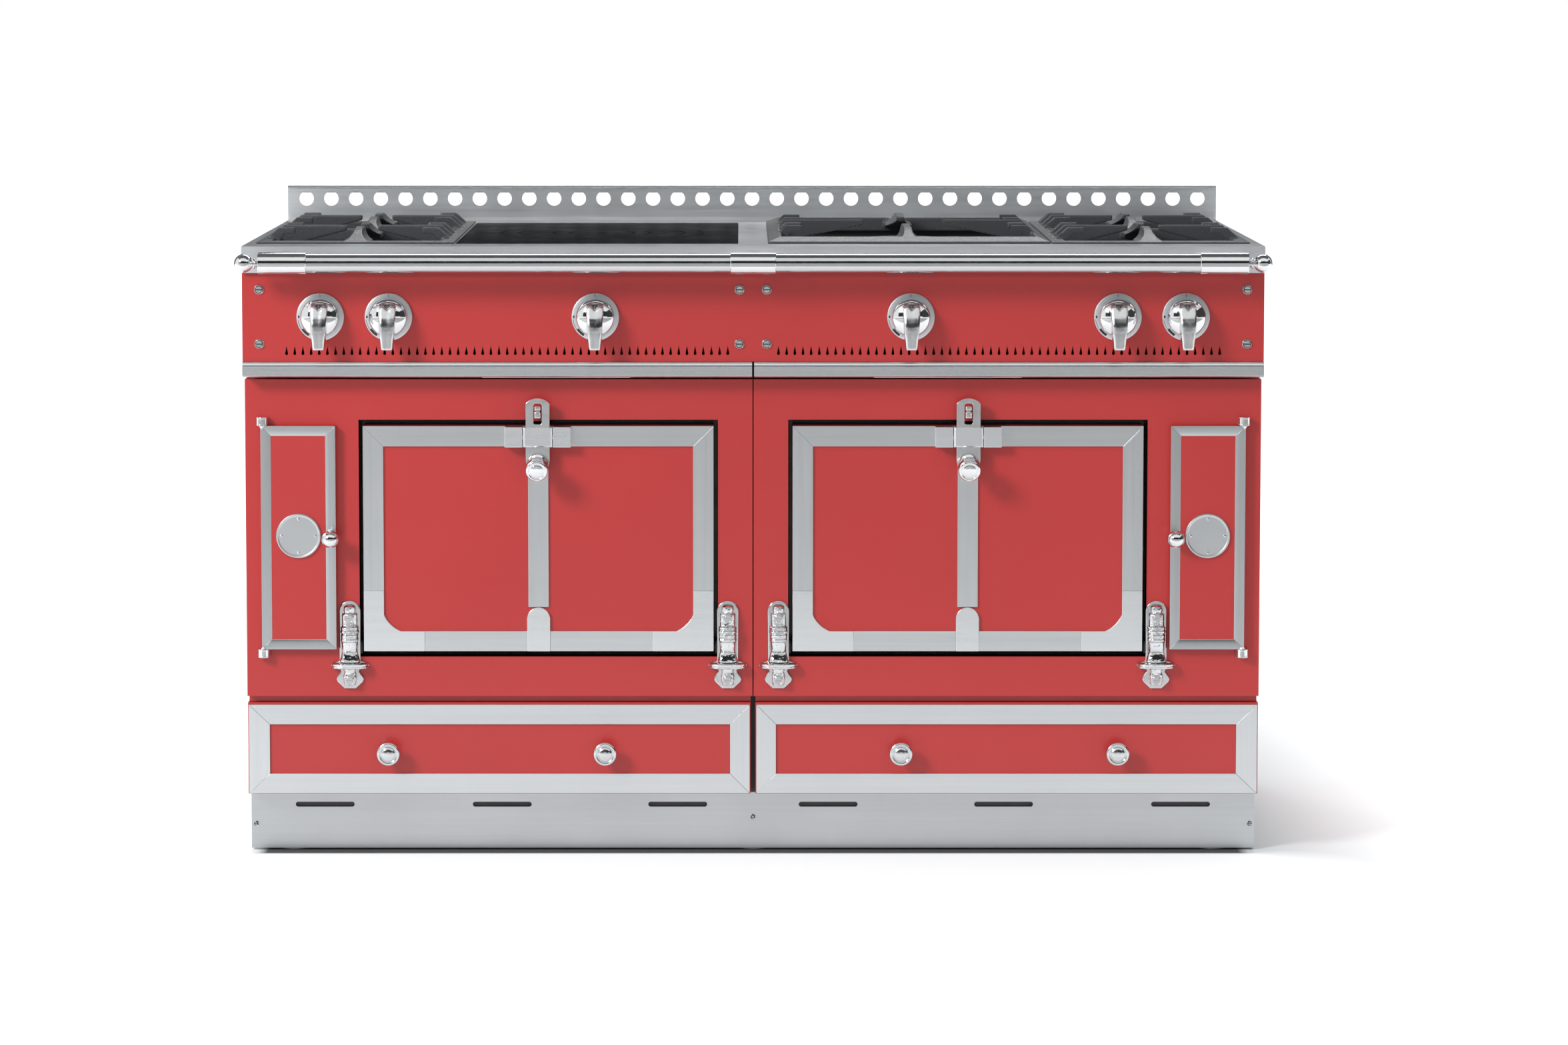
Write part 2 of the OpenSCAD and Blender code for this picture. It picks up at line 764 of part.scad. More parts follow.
module backguard() {
    count = floor((body_w - 60) / guard_pitch);
    hole_z = hob_h + guard_h - 21;
    color([0.70, 0.71, 0.71]) {
        front_plate(y_guard, sheet)
            difference() {
                rect([-half_w, half_w], [hob_h, hob_h + guard_h]);
                for (i = [0:count])
                    translate([(i - count / 2) * guard_pitch, hole_z]) circle(d = guard_hole_d);
            }
        span([-half_w, half_w], [y_guard + sheet, y_back], [hob_h + guard_h - sheet, hob_h + guard_h]);
        span([-half_w, half_w], [y_back - sheet, y_back],
            [hob_h + guard_h - guard_lip, hob_h + guard_h - sheet]);
        // Foot flange on the hob
        span([-half_w + 20, half_w - 20], [y_guard + sheet, y_back - 3], [hob_h, hob_h + sheet]);
    }
}

function burners() = [
    [-outer_x, burner_ys[0], small_burner_d, z_well], [-outer_x, burner_ys[1], small_burner_d, z_well],
    [-inner_x, y_zone_mid, large_burner_d, hob_h - hot_plate_t - bay_drop + sheet],
    [inner_x, y_zone_mid, large_burner_d, z_well],
    [outer_x, burner_ys[1], small_burner_d, z_well], [outer_x, burner_ys[0], small_burner_d, z_well]
];
head_h = 16;
cap_h = 6;

module burner_heads() {
    throat = 5;
    color("goldenrod")
        for (b = burners())
            translate([b[0], b[1], b[3]])
                difference() {
                    rotate_extrude()
                        polygon([[throat, -sheet - 8], [14, -sheet - 8], [14, 0], [b[2] / 2 - 8, 0], [b[2] / 2, 6],
                            [b[2] / 2, head_h], [b[2] / 2 - 8, head_h], [b[2] / 2 - 12, 5], [throat, 5]]);
                    for (i = [0:23])
                        rotate([0, 0, i * 15])
                            translate([b[2] / 2 - 14, -1, head_h - 6]) cube([20, 2, 7]);
                }
}

module burner_caps() {
    color([0.12, 0.12, 0.13])
        for (b = burners())
            translate([b[0], b[1], b[3] + head_h])
                rotate_extrude()
                    polygon([[0, 0], [b[2] / 2 - 3, 0], [b[2] / 2 - 2, 2], [b[2] / 2 - 6, cap_h], [0, cap_h]]);
}

module gas_manifold() {
    left = knob_x[0] - 30;
    right = inlet_x;
    shaft_y = y_back_panel + sheet + 1;
    color([0.72, 0.60, 0.34]) {
        difference() {
            union() {
                rod_x([(left + right) / 2, y_manifold, z_manifold], manifold_d, right - left);
                translate([right, y_manifold, z_manifold]) sphere(d = manifold_d);
                rod_y([right, y_manifold, z_manifold], manifold_d, shaft_y - y_manifold);
                rod_y([right, shaft_y, z_manifold], inlet_d, inlet_len - 3);
                for (x = knob_x) {
                    to_front([x, valve_y + valve_len, z_knob])
                        cylinder(d = valve_d, h = valve_y + valve_len - y_panel - 2.5 - clear / 10);
                    translate([x, y_manifold, z_manifold]) cylinder(d = 16, h = z_knob - z_manifold);
                }
            }
            for (x = knob_x)
                to_front([x, valve_y + 18, z_knob]) cylinder(d = spindle_d + 2 * pin_play, h = valve_len);
            rod_y([right, y_back_panel - 20, z_manifold], 14, 60);
        }
    }
}

// Pipe with fittings at its bends, from a valve back to its burner
module feed_pipe(x, burner) {
    start_y = valve_y + valve_len / 2;
    z_valve = z_knob + valve_d / 2;
    top = burner[3] - sheet - 8 - clear / 10;
    bends = concat([[x, start_y], [x, burner[1]]], abs(burner[0] - x) > 1 ? [[burner[0], burner[1]]] : []);
    translate([x, start_y, z_valve]) cylinder(d = gas_pipe_d, h = z_pipe - z_valve);
    rod_y([x, start_y, z_pipe], gas_pipe_d, burner[1] - start_y);
    if (len(bends) > 2)
        rod_x([(burner[0] + x) / 2, burner[1], z_pipe], gas_pipe_d, abs(burner[0] - x));
    translate([burner[0], burner[1], z_pipe]) cylinder(d = gas_pipe_d, h = top - z_pipe);
    for (b = bends)
        translate([b[0], b[1], z_pipe]) cylinder(d = gas_pipe_d + 4, h = gas_pipe_d + 4, center = true);
}

module gas_pipes() {
    color("lightsteelblue")
        for (i = [0:5]) feed_pipe(knob_x[i], burners()[i]);
}

module towel_rail() {
    tube_end = half_w - 30;
    sleeve_end = half_w - 30;
    ball_x = half_w + ball_reach - ball_d / 2;
    mid = mid_sleeve_len / 2;
    sleeve_r = sleeve_d / 2;
    neck = [[0, sleeve_end - 2], [sleeve_r, sleeve_end - 2], [sleeve_r, sleeve_end], [7, sleeve_end + 1.5],
        [5, sleeve_end + 3.5], [7.5, sleeve_end + 5], [7.5, sleeve_end + 7], [4.5, sleeve_end + 8.5],
        [4.5, ball_x], [0, ball_x]];
    color("gainsboro") {
        difference() {
            union() {
                rod_x([0, y_rail, z_rail], rail_d, 2 * tube_end);
                rod_x([0, y_rail, z_rail], sleeve_d, mid_sleeve_len);
                for (s = [-1, 1]) {
                    rod_x([s * (sleeve_end - sleeve_len / 2), y_rail, z_rail], sleeve_d, sleeve_len);
                    translate([0, y_rail, z_rail]) rotate([0, s * 90, 0]) rotate_extrude() polygon(neck);
                    translate([s * ball_x, y_rail, z_rail]) sphere(d = ball_d);
                }
                // Stand-offs with their rosettes
                for (x = [-(sleeve_end - sleeve_len / 2), 0, sleeve_end - sleeve_len / 2]) {
                    rod_y([x, y_rail, z_rail], 16, rail_out);
                    rod_y([x, y_hob - 4, z_rail], 34, 4);
                }
            }
            rod_x([0, y_rail, z_rail], rail_d - 5, 2 * tube_end - 30);
        }
    }
}

module knob_bezels() {
    color("silver")
        for (x = knob_x)
            to_front([x, y_panel, z_knob])
                rotate_extrude()
                    polygon([[12, 0], [bezel_d / 2, 0], [bezel_d / 2, bezel_t - 1.2], [bezel_d / 2 - 1.2, bezel_t],
                        [knob_d / 2 + 1.5, bezel_t], [knob_d / 2 + 0.5, bezel_t - 1.5], [12, bezel_t - 1.5]]);
}

module spindle(i) {
    tip_y = y_panel - knob_base - 6;
    color("silver")
        difference() {
            to_front([knob_x[i - 1], valve_y + 17, z_knob])
                cylinder(d = spindle_d, h = valve_y + 17 - tip_y);
            span([knob_x[i - 1] - spindle_d, knob_x[i - 1] + spindle_d], [tip_y - cut, tip_y + 10],
                [z_knob + spindle_d * 0.3, z_knob + spindle_d]);
        }
}

module knob(i) {
    lever_top = 21;
    reach = knob_out - knob_base;
    x = knob_x[i - 1];
    color("gainsboro")
        translate([x, y_panel - knob_base, z_knob])
            difference() {
                union() {
                    rotate([90, 0, 0])
                        rotate_extrude()
                            polygon([[0, 0], [knob_d / 2, 0], [knob_d / 2, 2.5], [knob_d / 2 - 1.5, 6],
                                [knob_d / 2 - 5, 10.5], [knob_d / 2 - 10, 14.5], [knob_d / 2 - 16, 17.5], [6, dome_h],
                                [0, dome_h]]);
                    // Tapered lever with a faceted crest
                    intersection() {
                        side_plate(-20, 40)
                            polygon([[-6, 17], [-15, lever_top], [-25, 16], [-reach + 1, -6], [-reach, -20],
                                [-reach + 3, -lever_drop], [-reach + 14, -lever_drop], [-12, -24], [-2, -18]]);
                        front_plate(-60, 60)
                            polygon([[-14, lever_top - 3], [-10, lever_top], [10, lever_top], [14, lever_top - 3],
                                [8.2, -lever_drop + 3], [6, -lever_drop], [-6, -lever_drop], [-8.2, -lever_drop + 3]]);
                        translate([0, 0, -60])
                            linear_extrude(100)
                                polygon([[-15, 0], [-15, -reach + 15], [-5, -reach + 2], [0, -reach], [5, -reach + 2],
                                    [15, -reach + 15], [15, 0]]);
                    }
                }
                // Bore for the spindle, with its flat
                difference() {
                    rotate([90, 0, 0]) translate([0, 0, -cut])
                        cylinder(d = spindle_d + 2 * pin_play, h = 6 + push_travel + 2 * cut);
                    span([-spindle_d, spindle_d], [-push_travel - 9, 2 * cut],
                        [spindle_d * 0.3 + 0.2, spindle_d]);
                }
            }
}

module hinge_casting(x, inner) {
    toward = inner ? 1 : -1;
    cx = x;
    y_face = y_front - hinge_out;
    half = hinge_w / 2;
    round_z = z_hinge_top - half;
    union() {
        intersection() {
            front_plate(y_face, hinge_out)
                union() {
                    translate([cx, round_z]) circle(r = half);
                    rect([cx - half, cx + half], [z_hinge_top - 52, round_z]);
                    rect([cx - half + 3, cx + half - 3], [z_hinge + 56, z_hinge_top - 48]);
                    rect([cx - half, cx + half], [z_hinge + 44, z_hinge + 56]);
                    rect([cx - half + 4, cx + half - 4], [z_hinge + 36, z_hinge + 46]);
                    round_rect([cx - 28.5, cx + 28.5], [z_hinge + 31.5, z_hinge + 39.5], 3.5);
                    round_rect([cx - 20, cx + 20], [z_hinge + 8, z_hinge + 34], 8);
                    round_rect([cx - 10, cx + 10], [z_hinge, z_hinge + 14], 5);
                }
            // Stepped relief of the casting, seen from its side
            side_plate(cx - 40, 80)
                polygon([[y_front, z_hinge], [y_front - 6, z_hinge], [y_front - 12, z_hinge + 7],
                    [y_front - 16, z_hinge + 12], [y_front - 16, z_hinge + 28], [y_face, z_hinge + 31],
                    [y_face, z_hinge + 40], [y_front - 13, z_hinge + 43], [y_front - 13, z_hinge + 54],
                    [y_front - 17, z_hinge + 58], [y_front - 17, z_hinge + 74], [y_face + 1, z_hinge + 76],
                    [y_face + 1, z_hinge + 81], [y_front - 18, z_hinge + 83], [y_front - 18, z_hinge + 87],
                    [y_face + 1, z_hinge + 89], [y_face + 1, z_hinge + 94], [y_front - 16, z_hinge + 96],
                    [y_front - 16, z_hinge_top - 4], [y_front - 13, z_hinge_top], [y_front, z_hinge_top]]);
        }
        for (z = [z_hinge + 17, z_hinge_top - 22])
            to_front([cx, y_front - 16, z]) cylinder(d = 17, h = 2);
        // Tongue into the door opening, and the pivot pin on it
        tongue_x = inner ? door_in - door_side_gap + clear : door_out + door_side_gap - clear - tongue_t;
        span([tongue_x, tongue_x + tongue_t], [door_axis_y - 8, door_axis_y + 8],
            [door_axis_z - 9, door_axis_z + 9]);
        span([min(tongue_x, cx + toward * (half - 5)), max(tongue_x + tongue_t, cx + toward * (half - 5))],
            [y_front - 9, y_front - clear], [door_axis_z - 9, door_axis_z + 9]);
        pin_from = inner ? tongue_x + tongue_t : tongue_x;
        rod_x([pin_from + toward * (bush_depth - 1 + door_side_gap) / 2 - toward * 1.5, door_axis_y, door_axis_z],
            door_pin_d, bush_depth - 1 + door_side_gap - 3);
    }
}

module side_hinge_lugs() {
    for (top = [0, 1]) {
        z = top == 1 ? z_side_top + clear : z_side - clear - side_lug_h;
        intersection() {
            translate([side_axis_x, side_axis_y, z]) cylinder(d = side_lug_d, h = side_lug_h);
            span([side_axis_x - side_lug_d, side_axis_x + side_lug_d], [y_front - side_lug_d, y_front],
                [z, z + side_lug_h]);
        }
        translate([side_axis_x, side_axis_y, z]) {
            translate([0, 0, top == 1 ? -10 : side_lug_h]) cylinder(d = side_pin_d, h = 10);
            translate([0, 0, top == 1 ? side_lug_h : -5])
                cylinder(d1 = top == 1 ? 9 : 4, d2 = top == 1 ? 4 : 9, h = 5);
        }
    }
}

module door_hinges() {
    color("gainsboro")
        both_sides() {
            hinge_casting(hinge_xs[0], true);
            hinge_casting(hinge_xs[1], false);
            side_hinge_lugs();
        }
}

module latch_keepers() {
    y_nose = latch_axis_y - 9;
    color("silver")
        both_sides()
            union() {
                side_plate(door_x - keeper_w / 2, keeper_w)
                    polygon([[y_front, keeper_lo], [y_nose + 4, keeper_lo], [y_nose, keeper_lo + 5],
                        [y_nose, keeper_hi - 7], [y_nose + 5, keeper_hi], [y_front, keeper_hi]]);
                front_plate(y_front - 3, 3)
                    round_rect([door_x - 14, door_x + 14], [keeper_lo - 6, keeper_hi + 6], 4);
            }
}

module latch(side) {
    hub = [latch_hub_w / 2 - clear, latch_hub_d / 2];
    plate_y = latch_axis_y - 5;
    ring = latch_knob_d / 2;
    stem_base = plate_y;
    color("gainsboro")
        on_side(side)
            difference() {
                union() {
                    // Slotted plate with a tail
                    front_plate(plate_y, latch_t)
                        difference() {
                            union() {
                                translate([door_x, latch_top - latch_w / 2]) circle(d = latch_w);
                                rect([door_x - latch_w / 2, door_x + latch_w / 2], [latch_tail + 18, latch_top - latch_w / 2]);
                                polygon([[door_x - latch_w / 2, latch_tail + 18], [door_x - band_w / 2 + 1, latch_tail],
                                    [door_x + band_w / 2 - 1, latch_tail], [door_x + latch_w / 2, latch_tail + 18]]);
                            }
                            round_rect([door_x - slot_w / 2, door_x + slot_w / 2], [slot_lo, slot_hi], 3);
                        }
                    // Rocker hub
                    span([door_x - hub[0], door_x + hub[0]], [latch_axis_y - hub[1], latch_axis_y + hub[1]],
                        [latch_axis_z - 15, latch_axis_z + 15]);
                    // Ribbed stem and ringed knob
                    to_front([door_x, stem_base, latch_knob_z])
                        rotate_extrude()
                            polygon([[0, 0], [12, 0], [12, 3], [9, 5], [9, 8], [11, 9], [11, 11], [9, 12], [9, 15],
                                [12, 17], [ring, 21], [ring, latch_knob_out - 18], [ring - 3, latch_knob_out - 15.5],
                                [ring - 5.5, latch_knob_out - 15.5], [ring - 6.5, latch_knob_out - 17],
                                [0, latch_knob_out - 15]]);
                }
                rod_x([door_x, latch_axis_y, latch_axis_z], latch_pin_d + 2 * pin_play, latch_hub_w + 2 * cut);
            }
}

module oven_door(side) {
    y_in = y_door + band_t;
    color([0.77, 0.28, 0.28])
        on_side(side)
            difference() {
                span([door_in, door_out], [y_in, y_door_back], [z_door, z_door_top]);
                // Hollow for the insulation, open to the vent slots in the top edge
                difference() {
                    span([door_in + door_skin, door_out - door_skin], [y_in + door_skin, y_door_back - door_skin],
                        [z_door + door_skin, z_door_top - door_skin]);
                    for (x = [door_in, door_out])
                        rod_x([x, door_axis_y, door_axis_z], door_pin_d + 10, 2 * bush_depth + 4);
                }
                for (i = [-2:2])
                    span([door_x + i * 80 - 20, door_x + i * 80 + 20], [y_in + 22, y_in + 27],
                        [z_door_top - door_skin - cut, z_door_top + cut]);
                // Bores for the pivot pins
                for (x = [door_in, door_out])
                    rod_x([x, door_axis_y, door_axis_z], door_pin_d + 2 * pin_play, 2 * bush_depth);
            }
}

module door_straps(side) {
    in_x = [door_in + band_w, door_x - band_w / 2];
    in_x2 = [door_x + band_w / 2, door_out - band_w];
    in_z = [z_door + band_w, z_door_top - band_w];
    corner_r = gusset * 0.25;
    color([0.70, 0.70, 0.70])
        on_side(side) {
            front_plate(y_door, band_t)
                difference() {
                    rect([door_in, door_out], [z_door, z_door_top]);
                    rect(in_x, in_z);
                    rect(in_x2, in_z);
                }
            // Corner gussets with a round inner corner
            for (s = [-1, 1]) {
                corner = s < 0 ? door_in : door_out;
                front_plate(y_door - 0.8, band_t + 0.8)
                    difference() {
                        rect([min(corner, corner - s * gusset), max(corner, corner - s * gusset)],
                            [z_door, z_door + gusset]);
                        translate([corner - s * (band_w + corner_r), z_door + band_w + corner_r]) circle(r = corner_r);
                        rect([min(corner - s * (band_w + corner_r), corner - s * (gusset + cut)),
                            max(corner - s * (band_w + corner_r), corner - s * (gusset + cut))],
                            [z_door + band_w, z_door + gusset + cut]);
                        rect([min(corner - s * band_w, corner - s * (gusset + cut)),
                            max(corner - s * band_w, corner - s * (gusset + cut))],
                            [z_door + band_w + corner_r, z_door + gusset + cut]);
                    }
            }
            // Cap at the foot of the centre strap
            front_plate(y_door - 1.6, band_t + 1.6)
                union() {
                    translate([door_x, z_door + 48.5]) circle(d = 34);
                    rect([door_x - 17, door_x + 17], [z_door, z_door + 48.5]);
                }
            // Bearing blocks of the latch, and its pin
            for (s = [-1, 1]) {
                block_in = door_x + s * (latch_hub_w / 2 + clear);
                block_out = block_in + s * latch_block_w;
                span([min(block_in, block_out), max(block_in, block_out)],
                    [latch_axis_y - latch_hub_d / 2 + 1, y_door], [z_door_top - band_w, z_door_top]);
            }
            rod_x([door_x, latch_axis_y, latch_axis_z], latch_pin_d, latch_hub_w + 20);
        }
}

module side_door(side) {
    y0 = y_front - 1 - side_t;
    color([0.77, 0.28, 0.28])
        on_side(side)
            difference() {
                span([side_in, side_out], [y0 + 2, y_front - 1], [z_side, z_side_top]);
                span([side_in + sheet, side_axis_x - 8], [y0 + 2 + sheet, y_front], [z_side + sheet, z_side_top - sheet]);
                for (z = [z_side, z_side_top])
                    translate([side_axis_x, side_axis_y, z])
                        cylinder(d = side_pin_d + 2 * pin_play, h = 24, center = true);
            }
}

module side_trim(side) {
    y0 = y_front - 1 - side_t;
    plate_z = thermo_z + 3;
    knob_x_side = side_in + 6.5;
    ball_y = y0 - 17;
    color([0.70, 0.70, 0.70])
        on_side(side) {
            front_plate(y0, 2)
                difference() {
                    rect([side_in, side_out], [z_side, z_side_top]);
                    rect([side_in + side_band_w, side_out - side_band_w],
                        [z_side + side_band_w, z_side_top - side_band_w]);
                }
            // Plain round plate with a raised rim
            to_front([side_x, y0 + 2, plate_z])
                rotate_extrude()
                    polygon([[0, 0], [33, 0], [33, 3.2], [31.5, 4], [29.5, 4], [28.5, 2.8], [0, 3.2]]);
            // Ball knob
            to_front([knob_x_side, y0, thermo_z])
                rotate_extrude()
                    polygon([[0, 0], [9, 0], [9, 1.5], [5.5, 3], [4.5, 6], [4.5, 17], [0, 17]]);
            translate([knob_x_side, ball_y, thermo_z]) sphere(d = side_ball_d);
        }
}

module drawer_box(side) {
    y = [y_drawer_box, y_drawer_box + drawer_d];
    color("silver")
        on_side(side) {
            difference() {
                span([box_in, box_out], y, box_z);
                span([box_in + box_wall, box_out - box_wall], [y[0] + box_wall, y[1] - box_wall],
                    [box_z[0] + box_wall, box_z[1] + cut]);
            }
            span([box_out, box_out + slide_w], y, [slide_z, slide_z + slide_h]);
            span([box_in - slide_w, box_in], y, [slide_z, slide_z + slide_h]);
        }
}

module drawer_front(side) {
    color([0.77, 0.28, 0.28])
        on_side(side)
            difference() {
                span([drawer_in, drawer_out], [y_drawer_face, y_drawer_box], [z_drawer, z_drawer_top]);
                span([drawer_in + sheet, drawer_out - sheet], [y_drawer_face + sheet, y_drawer_box - sheet],
                    [z_drawer + sheet, z_drawer_top - sheet]);
                // The back of the pan is open round the box
                span([box_in + 40, box_out - 40], [y_drawer_box - sheet - cut, y_drawer_box + cut],
                    [box_z[0] + 12, box_z[1] - 12]);
            }
}

module drawer_trim(side) {
    edge = 3;
    x = [drawer_in + 1.5, drawer_out - 1.5];
    z = [z_drawer + 1, z_drawer_top - edge];
    r = drawer_knob_d / 2;
    color([0.79, 0.80, 0.80])
        on_side(side) {
            front_plate(y_drawer, 3)
                difference() {
                    rect(x, z);
                    rect([x[0] + drawer_band_side - 2, x[1] - drawer_band_side],
                        [z[0] + drawer_band_end, z[1] - drawer_band_end]);
                }
            for (s = [-1, 1])
                to_front([drawer_x + s * drawer_knob_span / 2, y_drawer_face, (z_drawer + z_drawer_top) / 2 - 5])
                    rotate_extrude()
                        polygon([[0, 0], [9, 0], [9, 2], [6, 4], [6, 12], [r - 4, 17], [r, 20], [r, 25], [r - 1.5, 27],
                            [r - 4, 27], [r - 5, 26], [r - 6.5, 26], [r - 7.5, 28], [0, 30]]);
        }
}

module drawer_runners() {
    y = [y_frame + 1, y_frame + drawer_d];
    lo = slide_z - clear;
    color("gray")
        both_sides() {
            // Outer runner on the corner post
            difference() {
                span([box_out + 1, half_w - sheet - post_t], y, [lo - runner_t, slide_z + slide_h + 6]);
                span([box_out, half_w - sheet - post_t - runner_t], [y[0] - cut, y[1] + cut],
                    [lo, slide_z + slide_h + clear]);
                span([box_out, half_w - sheet - post_t - runner_t], [y[0] - cut, y[1] + cut],
                    [slide_z + slide_h + clear + runner_t, slide_z + slide_h + 10]);
                span([half_w - sheet - post_w - 1, half_w], [y_frame - cut, y_frame + post_t + 1],
                    [lo - 20, slide_z + slide_h + 20]);
            }
            // Inner runner on the centre post
            difference() {
                span([centre_post, box_in - 1], [y_frame + 1, y[1]], [lo - runner_t, slide_z + slide_h + 6]);
                span([centre_post + runner_t, box_in], [y[0] - cut, y[1] + cut], [lo, slide_z + slide_h + clear]);
                span([centre_post + runner_t, box_in], [y[0] - cut, y[1] + cut],
                    [slide_z + slide_h + clear + runner_t, slide_z + slide_h + 10]);
            }
        }
}

// Arched outline of an oven cavity, grown by a wall
module cavity_outline(grow) {
    half = cavity_w / 2;
    r = (half * half + vault_rise * vault_rise) / (2 * vault_rise);
    intersection() {
        rect([door_x - half - grow, door_x + half + grow], [cavity_floor - grow, cavity_top + grow]);
        union() {
            rect([door_x - half - grow, door_x + half + grow], [cavity_floor - grow, cavity_wall]);
            translate([door_x, cavity_wall + vault_rise - r]) circle(r = r + grow);
        }
    }
}

module oven_liner(side) {
    open_x = [door_in - door_side_gap, door_out + door_side_gap];
    open_z = [z_door - door_end_gap, z_door_top + door_end_gap];
    y_sleeve = y_front + 22;
    skid_x = door_x - skid_t / 2;
    skid_half = cavity_w / 2 - 55;
    color([0.13, 0.13, 0.14])
        on_side(side) {
            // Sleeve round the door and the front flange
            front_plate(y_sleeve, y_liner - y_sleeve)
                difference() {
                    rect(open_x, open_z);
                    rect([open_x[0] + 1, open_x[1] - 1], [open_z[0] + 1, open_z[1] - 1]);
                }
            front_plate(y_liner, sheet)
                difference() {
                    rect([open_x[0] - 3, open_x[1] + 3], [open_z[0] - 3, open_z[1] + 3]);
                    cavity_outline(0);
                }
            // Vaulted cavity
            front_plate(cavity_y, cavity_d)
                difference() {
                    cavity_outline(sheet);
                    cavity_outline(0);
                }
            front_plate(cavity_y + cavity_d, sheet) cavity_outline(sheet);
            // Shelf ribs and skids
            for (s = [-1, 1]) {
                wall_x = door_x + s * cavity_w / 2;
                for (z = [rack_z, rack_z + 75, rack_z + 150])
                    span([min(wall_x, wall_x - s * rack_rib), max(wall_x, wall_x - s * rack_rib)],
                        [cavity_y + 6, cavity_y + cavity_d], [z - 7, z]);
                span([skid_x + s * skid_half, skid_x + s * skid_half + skid_t], [cavity_y, cavity_y + cavity_d],
                    [z_deck + deck_t, cavity_floor - sheet]);
            }
        }
}

module oven_racks() {
    wire = rack_wire / 2;
    half = cavity_w / 2 - 2;
    y = [cavity_y + 10, cavity_y + cavity_d - 8];
    color("silver")
        both_sides()
            translate([door_x, 0, rack_z + wire + clear / 10]) {
                for (s = [-1, 1]) {
                    rod_y([s * (half - wire), y[0], 0], rack_wire, y[1] - y[0]);
                    rod_x([0, s < 0 ? y[0] + wire : y[1] - wire, 0], rack_wire, 2 * half);
                }
                for (i = [-5:5])
                    rod_y([i * half / 6, y[0] + wire, 0], 4, y[1] - y[0] - rack_wire);
            }
}

module oven_elements() {
    z = cavity_floor + 16;
    y = [cavity_y + 50, cavity_y + cavity_d];
    bend = cavity_w / 9.4;
    color([0.25, 0.24, 0.24])
        both_sides()
            for (s = [-2, 2])
                translate([door_x + s * bend, 0, 0]) {
                    rod_x([0, y[0], z], 8, 2 * bend);
                    for (x = [-bend, bend]) {
                        rod_y([x, y[0], z], 8, y[1] - y[0]);
                        translate([x, y[0], z]) sphere(d = 8);
                        translate([x, y[0] + 20, cavity_floor]) cylinder(d = 6, h = 14);
                    }
                }
}

module control_niches() {
    y = [y_front + 2.5, y_front + 2.5 + niche_depth];
    body_y = y[1];
    color([0.30, 0.30, 0.31])
        both_sides()
            difference() {
                union() {
                    span([niche_in, niche_out], y, niche_z);
                    // Thermostat body behind the niche
                    to_front([side_x, body_y + 46, thermo_z]) cylinder(d = 40, h = 46);
                    // Flange on the back of the oven front
                    span([niche_in - 5, niche_out + 5], [y[0], y[0] + niche_wall], [niche_z[0] - 5, niche_z[1] + 5]);
                }
                span([niche_in + niche_wall, niche_out - niche_wall], [y[0] - cut, y[1] - niche_wall],
                    [niche_z[0] + niche_wall, niche_z[1] - niche_wall]);
                to_front([side_x, body_y + 18, thermo_z]) cylinder(d = spindle_d + 2 * pin_play, h = 40);
            }
}

module thermostat_knob(side) {
    y_wall = y_front + 2.5 + niche_depth - niche_wall;
    r = thermo_d / 2;
    color([0.15, 0.15, 0.16])
        on_side(side)
            union() {
                to_front([side_x, y_wall - 1.5, thermo_z])
                    rotate_extrude()
                        polygon([[0, 0], [r, 0], [r, 4], [r - 2, 6], [r - 6, 6], [r - 8, 20], [r - 10, 22], [0, 22]]);
                to_front([side_x, y_wall + 17, thermo_z]) cylinder(d = spindle_d, h = 18.5);
                span([side_x - 1.5, side_x + 1.5], [y_wall - 24.5, y_wall - 20], [thermo_z, thermo_z + 11]);
            }
}

// Frame of a pan support: a rim on the hob with sloped top, and a skirt inside the well
module grate_rim(x, y, rise) {
    top = hob_h + rim_edge + rise;
    out = rim_seat + skirt_clear;
    in = out + skirt_t;
    difference() {
        union() {
            intersection() {
                side_plate(x[0], x[1] - x[0])
                    polygon([[y[0], hob_h], [y[1], hob_h], [y[1], hob_h + rim_edge], [y[1] - rim_w, top],
                        [y[0] + rim_w, top], [y[0], hob_h + rim_edge]]);
                front_plate(y[0], y[1] - y[0])
                    polygon([[x[0], hob_h], [x[1], hob_h], [x[1], hob_h + rim_edge], [x[1] - rim_w, top],
                        [x[0] + rim_w, top], [x[0], hob_h + rim_edge]]);
            }
            translate([0, 0, hob_h - skirt_drop])
                linear_extrude(skirt_drop + 1)
                    round_rect([x[0] + out, x[1] - out], [y[0] + out, y[1] - out], skirt_r);
        }
        translate([0, 0, hob_h - skirt_drop - cut])
            linear_extrude(top - hob_h + skirt_drop + 2 * cut)
                round_rect([x[0] + in, x[1] - in], [y[0] + in, y[1] - in], skirt_r - 8);
    }
}

// Outline of a long finger: t runs inwards from the rim's outer edge
module finger_outline(reach, low) {
    polygon([[rim_seat + 2, 0], [8, rim_edge], [27, rest_h], [reach, rest_h], [reach + 1, rest_h - 1.5],
        [reach, rest_h - 8], [low, -8], [rim_seat + skirt_t, -8], [rim_seat + 2, -4]]);
}

// Outline of a short sloping leg with a flat pad
module leg_outline() {
    polygon([[rim_seat + 2, 0], [8, rim_edge], [27, rest_h], [52, rest_h], [52, rest_h - 9], [36, rest_h - 9],
        [26, -4], [rim_seat + 2, -4]]);
}

